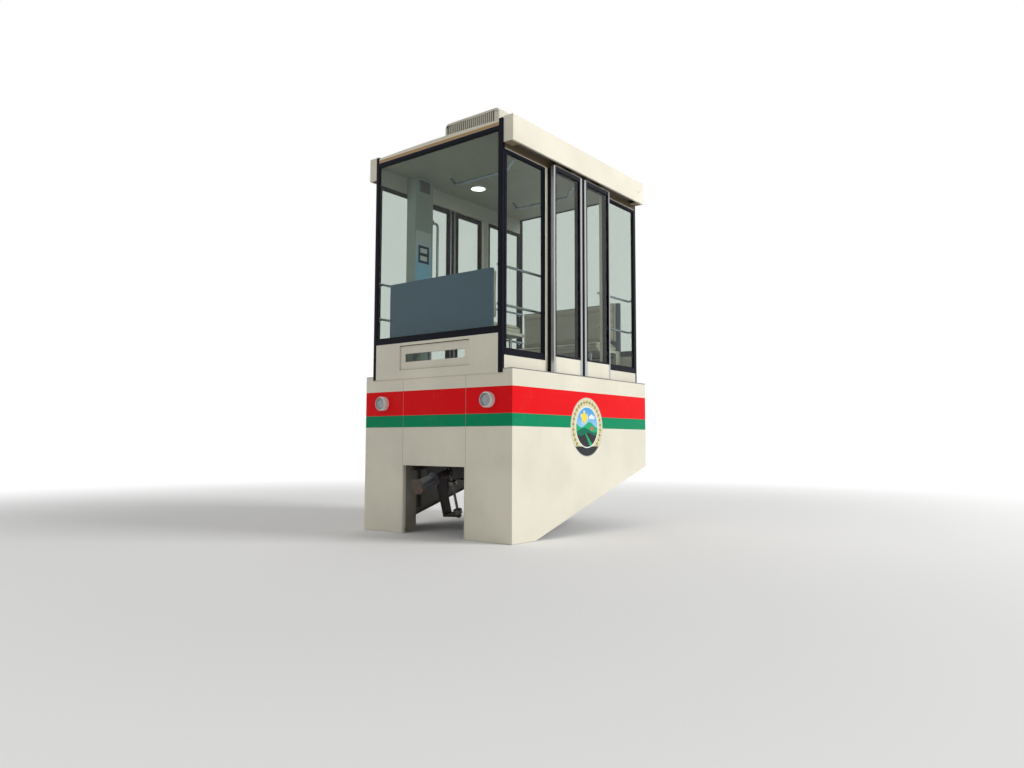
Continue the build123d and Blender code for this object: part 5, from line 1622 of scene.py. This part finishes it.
@dataclass
class Interior:
    """Benches, rails, lamp, cabinet, notices and small parts."""

    sheet: tuple[float, float, float, float] = (-0.717, -0.499, 1.600, 2.123)
    card_place: Pair = (-0.6035, 1.8995)
    card_step: float = 0.03724
    card_half: float = 0.03458
    ceiling: float = 2.6428
    door_height: float = 0.780

    def build(self) -> None:
        """Dress what the frame has and add the fittings."""
        dress(Finish.BENCH, *named("bench", ENDS))
        dress(Finish.RAIL, "guard_rails", "grab_rails")
        dress(Finish.CABINET, "wall_cabinet")
        dress(Finish.SPEAKER, "wall_speaker")
        self.ceiling_lamp()
        self.notices()
        self.flanges()
        self.cabinet_door()

    def ceiling_lamp(self) -> None:
        """Opal dome in a turned ring."""
        lamp = Extent.of("ceiling_lamps")
        radius = lamp.size.x / 2
        place = (*lamp.centre.xy, lamp.high.z)
        dome = arc(np.linspace(QUARTER, 0, 8), radius * 0.86, 0.009) + (0, 0.004)
        opal = revolved([*dome, (radius * 0.86, 0.001), (0, 0.001)], 48).facing("z", -1).moved(place)
        section = arc(np.linspace(0, FULL_TURN, 15), radius * 0.08, 0.0062) + (radius * 0.92, 0.0065)
        ring = revolved(section, 48).facing("z", -1).moved(place)
        piece("ceiling_lamp_ring", ring, Finish.BEZEL)
        piece("ceiling_lamp_opal", opal, Lit("lamp_opal", 6.0, place[:2], radius),
              stands_for=("ceiling_lamps",), sharp=50)

    def notices(self) -> None:
        """A blank sheet on the cabinet's face, and two blank cards in dark frames on it."""
        face = Extent.of("wall_cabinet").low.y
        start, stop, low, high = self.sheet
        sheet = soft_block((start + 0.004, face - 0.0010, low), (stop, face - 0.0001, high), 0.0004, 1)
        piece("notice_sheet", sheet, SheetPrint("notice_sheet", low, high))
        (x, z), half = self.card_place, self.card_half
        places = [(x, face - 0.0009, z + step) for step in (self.card_step, -self.card_step)]
        section = ((-0.012, 0), (0.012, 0), (0.012, 0.0022), (-0.012, 0.0022))
        rim = framed(section, (half * 1.7, half), 1, -1.0)
        card = soft_block((-half * 1.6, -0.0011, -half * 0.9), (half * 1.6, 0, half * 0.9), 0.0004, 1)
        navy = Enamel("notice_frame", (0.012, 0.035, 0.10), wear=0.1, edge_radius=0.0008)
        piece("notice_frames", rim.copied(places), navy)
        pale = SheetPrint("notice_card", low - 1.2, low - 1.0)
        piece("notice_cards", card.copied(places), pale)

    def flanges(self) -> None:
        """Round flanges at the ends of the grab rails, collars where the guard rails meet the walls."""
        flange = revolved(((0, 0), (0.026, 0), (0.026, 0.003), (0.019, 0.0055), (0.0135, 0.0055),
                           (0, 0.0055)), 28)
        flanges, collars = [], []
        for rail in solids("grab_rails"):
            if rail.size.y > 0.5:
                flanges += [flange.facing("z", -1).moved((rail.centre.x, y, self.ceiling))
                            for y in (rail.low.y + 0.0165, rail.high.y - 0.0165)]
            else:
                flanges += [flange.facing("x").moved((rail.low.x, rail.centre.y, z))
                            for z in (rail.low.z + 0.0125, rail.high.z - 0.0125)]
        piece("rail_flanges", join(*flanges), Finish.BRIGHT)
        collar = revolved(((0, 0), (0.019, 0), (0.019, 0.003), (0.0095, 0.006), (0, 0.006)), 24)
        for rail in solids("guard_rails"):
            side = rail.sign(1)
            collars += [collar.facing("y", -side).moved((x, side * INSIDE_WALL, rail.centre.z))
                        for x in (rail.low.x + 0.011, rail.high.x - 0.011) if not 0.50 <= abs(x) <= 1.0]
        piece("guard_collars", join(*collars), Finish.BRIGHT)

    def cabinet_door(self) -> None:
        """The cabinet's flush door: a thin panel below the notices, with a lock."""
        box = Extent.of("wall_cabinet")
        panel = plate(rounded_outline(box.size.x - 0.030, self.door_height, 0.006), 0.0018, 0.0006)
        knob = revolved(((0, 0), (0.011, 0), (0.011, 0.003), (0.008, 0.0045), (0, 0.0045)), 24)
        door = panel.facing("y", -1).moved((box.centre.x, box.low.y + 0.0002, 1.140))
        lock = knob.facing("y", -1).moved((box.high.x - 0.04, box.low.y - 0.0014, 1.200))
        piece("cabinet_door", door, Finish.CABINET)
        piece("cabinet_lock", lock, Finish.BRIGHT)


def resampled(loop: np.ndarray, count: int) -> np.ndarray:
    """Equally spaced points along a closed line, found by linear steps of its running length."""
    closed = np.concatenate([loop, loop[:1]])
    along = np.concatenate([[0], np.cumsum(np.linalg.norm(np.diff(closed, axis=0), axis=1))])
    wanted = np.linspace(0, along[-1], count, endpoint=False)
    return np.stack([np.interp(wanted, along, part) for part in closed.T], axis=-1)


@dataclass(frozen=True)
class Cushion:
    """One kind of cushion, made at the uphill end and mirrored: swollen by a short cloth simulation.

    Its free face looks along an axis, or against it. A fold runs across that face at a distance from the
    pad's border, with a depth and a width; a negative depth makes a roll.
    """

    kind: str
    axis: int
    way: float
    folds: tuple[tuple[float, float, float], ...]
    voxel: float = 0.008
    coarse_voxel: float = 0.014
    frames: int = 20
    pressure: float = 4.0
    limit: float = 0.024
    inset: float = 0.011
    rounding: float = 0.016
    proud: float = 0.006
    piping: float = 0.0042
    piping_points: int = 240

    @property
    def box(self) -> Extent:
        """The box of the uphill node that it replaces."""
        return Extent.of(f"{self.kind}_cushion_uphill")

    def build(self) -> None:
        """Make the pad and its piping, and place both at either end."""
        points, faces = self.swollen()
        points = self.sewn(points)
        pipes = self.pipes(points)
        for end, way in ENDS.items():
            self.place(end, points * (way, 1.0, 1.0), faces if way > 0 else [face[::-1] for face in faces])
            piece(f"{self.kind}_piping_{end}", pipes if way > 0 else pipes.mirrored(0), Finish.PIPING,
                  sharp=80)

    def limits(self, drawn_in: float, out: float) -> tuple[np.ndarray, np.ndarray]:
        """Corners of the box drawn in all round, its free face moved out."""
        low, high = np.array(self.box.low) + drawn_in, np.array(self.box.high) - drawn_in
        (high if self.way > 0 else low)[self.axis] += self.way * out
        return low, high

    def swollen(self) -> tuple[np.ndarray, list[list[int]]]:
        """The pad's points and faces, blown up from a soft block and held flat where it rests."""
        block = soft_block(*self.limits(self.inset * 0.55, -self.inset), self.rounding, 4)
        pad = placed("pad", mesh_of("pad", block))
        remesh = pad.modifiers.new("even", "REMESH")
        remesh.mode, remesh.voxel_size = "VOXEL", self.voxel
        pad.data = self.evaluated(pad)
        pad.modifiers.clear()
        faces = [list(face.vertices) for face in pad.data.polygons]
        before = coordinates(pad.data)
        after = self.simulated(pad, before)
        bpy.data.objects.remove(pad)
        return np.clip(after, *self.limits(0.0, self.proud)), faces

    def simulated(self, pad: bpy.types.Object, before: np.ndarray) -> np.ndarray:
        """The pad's points once cloth under pressure has run, none moved further than the limit."""
        cloth = pad.modifiers.new("cloth", "CLOTH")
        cloth.settings.quality = 4
        cloth.settings.use_pressure = True
        cloth.settings.uniform_pressure_force = self.pressure
        cloth.settings.tension_stiffness = 12
        cloth.settings.effector_weights.gravity = 0.0
        cloth.point_cache.frame_start, cloth.point_cache.frame_end = 1, self.frames
        for step in range(1, self.frames + 1):
            bpy.context.scene.frame_set(step)
        move = coordinates(self.evaluated(pad)) - before
        bpy.context.scene.frame_set(1)
        size = np.linalg.norm(move, axis=1, keepdims=True)
        return before + move * np.minimum(1.0, self.limit / np.maximum(size, 1e-9))

    @staticmethod
    def evaluated(pad: bpy.types.Object) -> bpy.types.Mesh:
        """A copy of the object's mesh with its modifiers applied."""
        graph = bpy.context.evaluated_depsgraph_get()
        graph.update()
        return bpy.data.meshes.new_from_object(pad.evaluated_get(graph))

    def sewn(self, points: np.ndarray) -> np.ndarray:
        """Press the folds into the free face.

        A fold's depth falls off from its line as a bell curve, and it grows from nothing in the middle
        of the pad to its full depth at the free face.
        """
        box, axis, across = self.box, self.axis, 2 - self.axis
        free = np.clip(self.way * (points[:, axis] - box.centre[axis]) / (box.size[axis] / 2), 0, 1)
        border = (box.low if self.way > 0 else box.high)[across]
        pressed = points.copy()
        for distance, depth, width in self.folds:
            off = points[:, across] - border - self.way * distance
            pressed[:, axis] -= self.way * depth * np.exp(-(off / width) ** 2) * free
        return pressed

    def pipes(self, points: np.ndarray) -> Surface:
        """Piping round the free face's border.

        Each point of a rounded rectangle takes the place of the pad's point nearest to it, the line is
        smoothed by running means, and a circle is carried along it.
        """
        size, axis, count = np.array(self.box.size), self.axis, self.piping_points
        outline = rounded_outline(*np.delete(size, axis), 0.030, 8)
        border = np.insert(outline, axis, self.way * (size[axis] / 2 - 0.006), axis=1)
        line = resampled(border + np.array(self.box.centre), count)
        line = points[np.linalg.norm(line[:, None] - points[None], axis=-1).argmin(axis=1)]
        for _ in range(4):
            line = (np.roll(line, 1, axis=0) + line + np.roll(line, -1, axis=0)) / 3
        line[:, axis] = np.convolve(np.tile(line[:, axis], 3), np.ones(15) / 15, "same")[count:2 * count]
        return carried(arc(turns(8), self.piping), line, np.eye(3)[axis] * self.way, True)

    def place(self, end: str, points: np.ndarray, faces: list[list[int]]) -> None:
        """Make the padded piece at one end, subdivided once."""
        name = f"{self.kind}_cushion_{end}"
        mesh = bpy.data.meshes.new(f"{name}_pad")
        mesh.from_pydata(points.tolist(), [], faces)
        mesh.shade_smooth()
        mesh.materials.append(Finish.HIDE.value.material())
        pad = placed(f"{name}_pad", mesh)
        smooth = pad.modifiers.new("smooth", "SUBSURF")
        smooth.levels = smooth.render_levels = 1
        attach(pad, "car")
        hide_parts(name)
        log.info("%s: %d points", name, len(points))


@dataclass
class RunningGear:
    """Frame, wheel carriers, wheels, guide spindles, drive, collector and buffers."""

    wheel_station: float = 0.750
    wheel_height: float = 0.090
    spindle_y: float = 0.115
    nut_heights: Pair = (0.0356, -0.3506)
    beam_top: float = 0.2402
    motor: Pair = (-0.300, -0.151)
    motor_radii: Pair = (0.0952, 0.1035)
    fins: int = 40
    shoes: tuple[Pair, ...] = ((0.250, -0.195), (0.360, -0.215), (0.470, -0.235), (0.580, -0.255))
    clamps: Pair = (0.30, 0.53)

    def build(self) -> None:
        """Dress the gear and add its housings, nuts, bolts and fins."""
        dress(Finish.STEEL, "running_frame")
        dress(Finish.CARRIER, *named("wheel_carrier", ENDS))
        dress(Finish.WHEEL_DOWNHILL, "running_wheel_downhill")
        dress(Finish.WHEEL_UPHILL, "running_wheel_uphill")
        dress(Finish.ROLLER, *named("guide_spindle", SIDES, ENDS))
        dress(Finish.PINION, "drive_pinion")
        dress(Finish.DRIVE, "drive_unit")
        dress(Finish.INSULATOR, "current_collector")
        dress(Finish.BUFFER, *named("buffer", ENDS))
        for end, way in ENDS.items():
            self.wheel_parts(end, way * self.wheel_station, self.wheel_height)
            for side, hand in SIDES.items():
                self.spindle_nuts(f"{side}_{end}", way * self.wheel_station, hand * self.spindle_y)
        self.frame_bolts()
        self.motor_fins()
        self.collector_parts()

    @staticmethod
    def wheel_parts(end: str, s: float, n: float) -> None:
        """Bolts on the wheel's dish, and a bearing housing outside each axle plate."""
        places = [(s + u, 0.0345, n + v) for u, v in arc(turns(6), 0.052)]
        bolts = hex_bolt(0.0065, 0.007).facing("y").copied(places)
        piece(f"wheel_bolts_{end}", bolts.both().inclined(), Finish.BOLT, f"wheel_{end}")
        housing = revolved(((0, 0), (0.040, 0), (0.040, 0.006), (0.029, 0.009), (0.026, 0.019),
                            (0.018, 0.023), (0, 0.023)), 32)
        studs = [(s + u, 0.0713, n + v) for u, v in arc(turns(4) + 0.785, 0.034)]
        stud = hex_bolt(0.004, 0.005).facing("y")
        cap = join(housing.facing("y").moved((s, 0.0655, n)), stud.copied(studs))
        piece(f"axle_housings_{end}", cap.both().inclined(), Finish.CARRIER)

    def spindle_nuts(self, name: str, s: float, y: float) -> None:
        """A nut and washer at both ends of a guide spindle."""
        above, below = self.nut_heights
        nut = hex_bolt(0.0165, 0.014)
        nuts = join(nut.moved((s, y, above)), nut.facing("z", -1).moved((s, y, below)))
        piece(f"spindle_nuts_{name}", nuts.inclined(), Finish.BOLT, f"guide_{name}")

    def frame_bolts(self) -> None:
        """Bolts through yokes and drive plate into the side beams, on the end flanges and on the posts."""
        top = (self.beam_top,)
        yokes = [way * self.wheel_station + off for way in ENDS.values() for off in (-0.045, 0.045)]
        drive = [self.motor[0] + off for off in (-0.105, 0.105)]
        places = [*product(yokes, (-0.245, 0.245, -0.150, 0.150), top), *product(drive, (-0.245, 0.245), top)]
        upright = hex_bolt(0.009, 0.010).copied(places)
        ends = [(0.8972, u, 0.113 + v) for u, v in arc(turns(6), 0.037)]
        flange = hex_bolt(0.005, 0.006).facing("x").copied(ends)
        posts = [(x + off, 0.3152, 0.545) for x in (-0.880, -0.330, 0.330, 0.880) for off in (-0.014, 0.014)]
        post = hex_bolt(0.0075, 0.008).facing("y").copied(posts)
        piece("frame_bolts", join(upright.inclined(), flange.both(0).inclined(), post.both()), Finish.BOLT)

    def motor_fins(self) -> None:
        """Ring of cooling fins round the motor, with end shields, terminal box and fan cowl."""
        core, tip = self.motor_radii
        fin = soft_block((core - 0.002, -0.0016, 0.030), (tip, 0.0016, 0.205), 0.0012, 1)
        parts = [fin.turned(((c, s, 0), (-s, c, 0), (0, 0, 1))) for c, s in arc(turns(self.fins), 1.0)]
        parts += [band(core - 0.01, tip + 0.002, low, low + 0.012, 48) for low in (0.004, 0.208)]
        parts.append(soft_block((-0.045, 0.085, 0.09), (0.045, 0.142, 0.17), 0.006, 3))
        parts.append(bar((0.0, 0.120, 0.072), (0.0, 0.120, 0.092), 0.011, 16))
        parts += [bar((-0.06, y, 0.2895), (0.06, y, 0.2895), 0.0016, 8) for y in np.linspace(-0.05, 0.05, 9)]
        unit = join(*parts).moved((*self.motor, self.beam_top)).inclined()
        piece("motor_fins", unit, Finish.DRIVE)

    def collector_parts(self) -> None:
        """Springs and bright rubbing faces on the collector's shoes, with clamp plates on the arm."""
        coil = np.column_stack([arc(np.linspace(0, 5 * FULL_TURN, 121), 0.0085), np.linspace(0, 0.0245, 121)])
        spring = carried(arc(turns(6), 0.0011), coil, (0, 0, 1)).facing("y").moved((0, -0.2390, 0))
        strip = soft_block((-0.043, -0.2002, -0.006), (0.043, -0.1985, 0.006), 0.0008, 1)
        for name, part, sharp in (("collector_springs", spring, 80), ("collector_strips", strip, 34)):
            parts = part.copied([(s, 0, n) for s, n in self.shoes]).inclined()
            piece(name, parts, Finish.BRIGHT, sharp=sharp)
        clamp = soft_block((-0.03, -0.2395, 0.150), (0.03, -0.2335, 0.228), 0.002, 2)
        bolts = hex_bolt(0.007, 0.007).facing("y").copied([(0, -0.2336, n) for n in (0.170, 0.208)])
        clamps = join(clamp, bolts).copied([(s, 0, 0) for s in self.clamps])
        piece("collector_clamps", clamps.inclined(), Finish.BOLT)


@dataclass
class Cooler:
    """Roof cooler: rounded lid and sides round a dark core, upright bars at both ends."""

    radius: float = 0.045
    edge: float = 0.014
    recess: float = 0.022
    slits: int = 24
    slit_low: float = 0.045
    slit_high: float = 0.026
    slit_from: float = -0.2740
    slit_to: float = 0.3010
    bar_width: float = 0.0125
    roof: float = 2.722

    def build(self) -> None:
        """Make the housing with its feet, the dark core and the screws of the lid."""
        box = Extent.of("roof_cooler")
        place, front = (box.centre.x, 0, box.low.z), box.size.x / 2
        low, high = self.slit_low - 0.004, box.size.z - self.slit_high + 0.004
        slat = soft_block((front - 0.020, -self.bar_width / 2, low),
                          (front - 0.001, self.bar_width / 2, high), 0.0025, 1)
        rows = np.linspace(self.slit_from, self.slit_to, self.slits + 1)[1:-1]
        slats = slat.copied([(0, y, 0) for y in rows]).both(0)
        foot = soft_block((0, -0.270, self.roof), (0.06, 0.270, box.low.z + 0.004), 0.002, 1)
        feet = foot.copied([(x, 0, 0) for x in (box.low.x + 0.09, box.high.x - 0.15)])
        piece("cooler_housing", join(join(self.jacket(box), slats).moved(place), feet), Finish.COOLER,
              stands_for=("roof_cooler",))
        core = soft_block((0.021 - front, self.slit_from - 0.004, low),
                          (front - 0.021, self.slit_to + 0.004, high), 0.002, 1)
        piece("cooler_core", core.moved(place), Finish.FIN)
        xs = np.linspace(box.low.x + 0.09, box.high.x - 0.09, 5)
        screws = [(x, box.high.y - 0.0001, box.low.z + z) for x, z in product(xs, (0.075, 0.290))]
        screw = pan_screw(0.0055, 0.0025).facing("y")
        piece("cooler_screws", screw.copied(screws).both(), Finish.BRIGHT)

    def jacket(self, box: Extent) -> Surface:
        """Jacket with a slit window in both end faces.

        Half of its rows are outlines across, drawn in by a quarter circle towards the end, then the
        window's outline at the end face and behind it. The other half are the same at the other end, and
        the last row comes back to the first along the windows.
        """
        front, count = box.size.x / 2, 18
        high = box.size.z - self.slit_high
        across = [self.slit_to, *np.linspace(self.slit_to, self.slit_from, count), self.slit_from]
        window = np.column_stack([across, [self.slit_low, *[high] * count, self.slit_low]])
        rows = [(front - self.edge + out, self.section(box, self.edge - drawn))
                for out, drawn in arc(np.linspace(QUARTER, 0, 5), self.edge)]
        rows += [(front, window), (front - self.recess, window)]
        loop = [(-x, outline) for x, outline in reversed(rows)] + rows
        return ringed(np.stack([np.insert(outline, 0, x, axis=1) for x, outline in [*loop, loop[0]]]))

    def section(self, box: Extent, inset: float) -> np.ndarray:
        """The housing's outline across: upright sides, quarter circles at the top corners."""
        half, high, r = box.size.y / 2 - inset, box.size.z - inset, self.radius - inset
        right = np.concatenate([[(half, inset)], arc(np.linspace(0, QUARTER, 9), r) + (half - r, high - r)])
        return np.concatenate([right, (right * (-1, 1))[::-1]])


@dataclass(frozen=True)
class StudioFloor(Coating):
    """Pale floor that turns white far out where it is looked at, and is clear from below."""

    def layers(self, shader: Shader) -> Layers:
        """Pale and matt near the car, plain white light far out."""
        shader.always({"Emission Strength": 1.0})
        shader.clear_where(shader.node("ShaderNodeNewGeometry").outputs["Backfacing"])
        x, y, _ = shader.axes()
        far = radial(x, y).rise(3.5, 11.0) * shader.viewed()
        glow = shader.mix(far, (0.0, 0.0, 0.0), (1.0, 1.0, 1.0))
        return Layers(shader.mix(far, (0.84, 0.84, 0.83), (0.0, 0.0, 0.0)), 0.9, glow=glow)


@dataclass
class Studio:
    """Pale floor, soft lamps, white surroundings and the camera."""

    floor_height: float = -0.679
    camera_place: tuple[float, float, float] = (-5.789, -4.542, 0.1165)
    yaw: float = 38.111
    pitch: float = 4.282
    roll: float = 0.179
    lens: float = 27.0
    surround: float = 0.37
    lamps: tuple[tuple[tuple[float, float, float], float, float], ...] = (
        ((6.0, -15.0, 8.5), 6.5, 2250.0), ((-7.0, 2.0, 4.5), 5.0, 70.0), ((5.0, 5.0, 5.0), 5.0, 110.0))

    def build(self) -> None:
        """Set up the whole studio."""
        self.floor()
        self.surroundings()
        for number, (place, size, power) in enumerate(self.lamps):
            self.lamp(f"soft_lamp_{number}", place, size, power)
        self.camera()
        bpy.context.scene.view_settings.view_transform = "Standard"

    def floor(self) -> None:
        """A wide round floor, fading into the white surroundings far out."""
        rings = [(radius, self.floor_height) for radius in (0, 4, 12, 30, 60)]
        mesh = mesh_of("floor", revolved(rings, 96))
        if mesh.polygons[0].normal.z < 0:
            mesh.flip_normals()
        mesh.materials.append(StudioFloor("studio_floor").material())
        placed("floor", mesh)

    def surroundings(self) -> None:
        """White where the camera, metal or glass sees it, a plain level for the light on the car."""
        world = bpy.data.worlds.new("studio")
        world.use_nodes = True
        bpy.context.scene.world = world
        graph = Graph(world.node_tree)
        background = world.node_tree.nodes["Background"]
        graph.feed(background.inputs["Color"], (1.0, 1.0, 1.0))
        graph.feed(background.inputs["Strength"], graph.blend(graph.viewed(), self.surround, 1.0))

    @staticmethod
    def lamp(name: str, place: tuple[float, float, float], size: float, power: float) -> None:
        """One soft square lamp aimed at the car's middle."""
        light = bpy.data.lights.new(name, "AREA")
        light.shape, light.size, light.energy = "SQUARE", size, power
        lamp = placed(name, light)
        lamp.location = place
        lamp.visible_glossy = lamp.visible_transmission = False
        lamp.rotation_euler = (Vector((0, 0, 1.0)) - Vector(place)).to_track_quat("-Z", "Y").to_euler()

    def camera(self) -> None:
        """The camera at the photograph's place, turned by yaw, pitch and roll."""
        data = bpy.data.cameras.new("camera")
        data.lens, data.sensor_width = self.lens, 36.0
        camera = placed("camera", data)
        yaw, pitch = math.radians(self.yaw), math.radians(self.pitch)
        ahead = Vector((math.cos(yaw) * math.cos(pitch), math.sin(yaw) * math.cos(pitch), math.sin(pitch)))
        turn = ahead.to_track_quat("-Z", "Y").to_matrix() @ Matrix.Rotation(math.radians(self.roll), 3, "Z")
        camera.matrix_world = Matrix.Translation(self.camera_place) @ turn.to_4x4()
        bpy.context.scene.camera = camera


def main() -> None:
    """Build the car's looks, one sub-assembly after another, and the studio."""
    logging.basicConfig(level=logging.INFO, format="%(message)s")
    seat = Cushion("seat", 2, 1.0, ((0.075, 0.009, 0.008),))
    back = Cushion("back", 0, -1.0, ((0.105, 0.016, 0.010), (0.050, -0.005, 0.035)))
    for part in (
            Skirt(), Cabin(), Glazing(), Doors(), HeadLamps(), Interior(), seat, back, RunningGear(),
            Cooler()):
        log.info("%s", type(part).__name__)
        part.build()
    Studio().build()


if __name__ == "__main__":
    main()
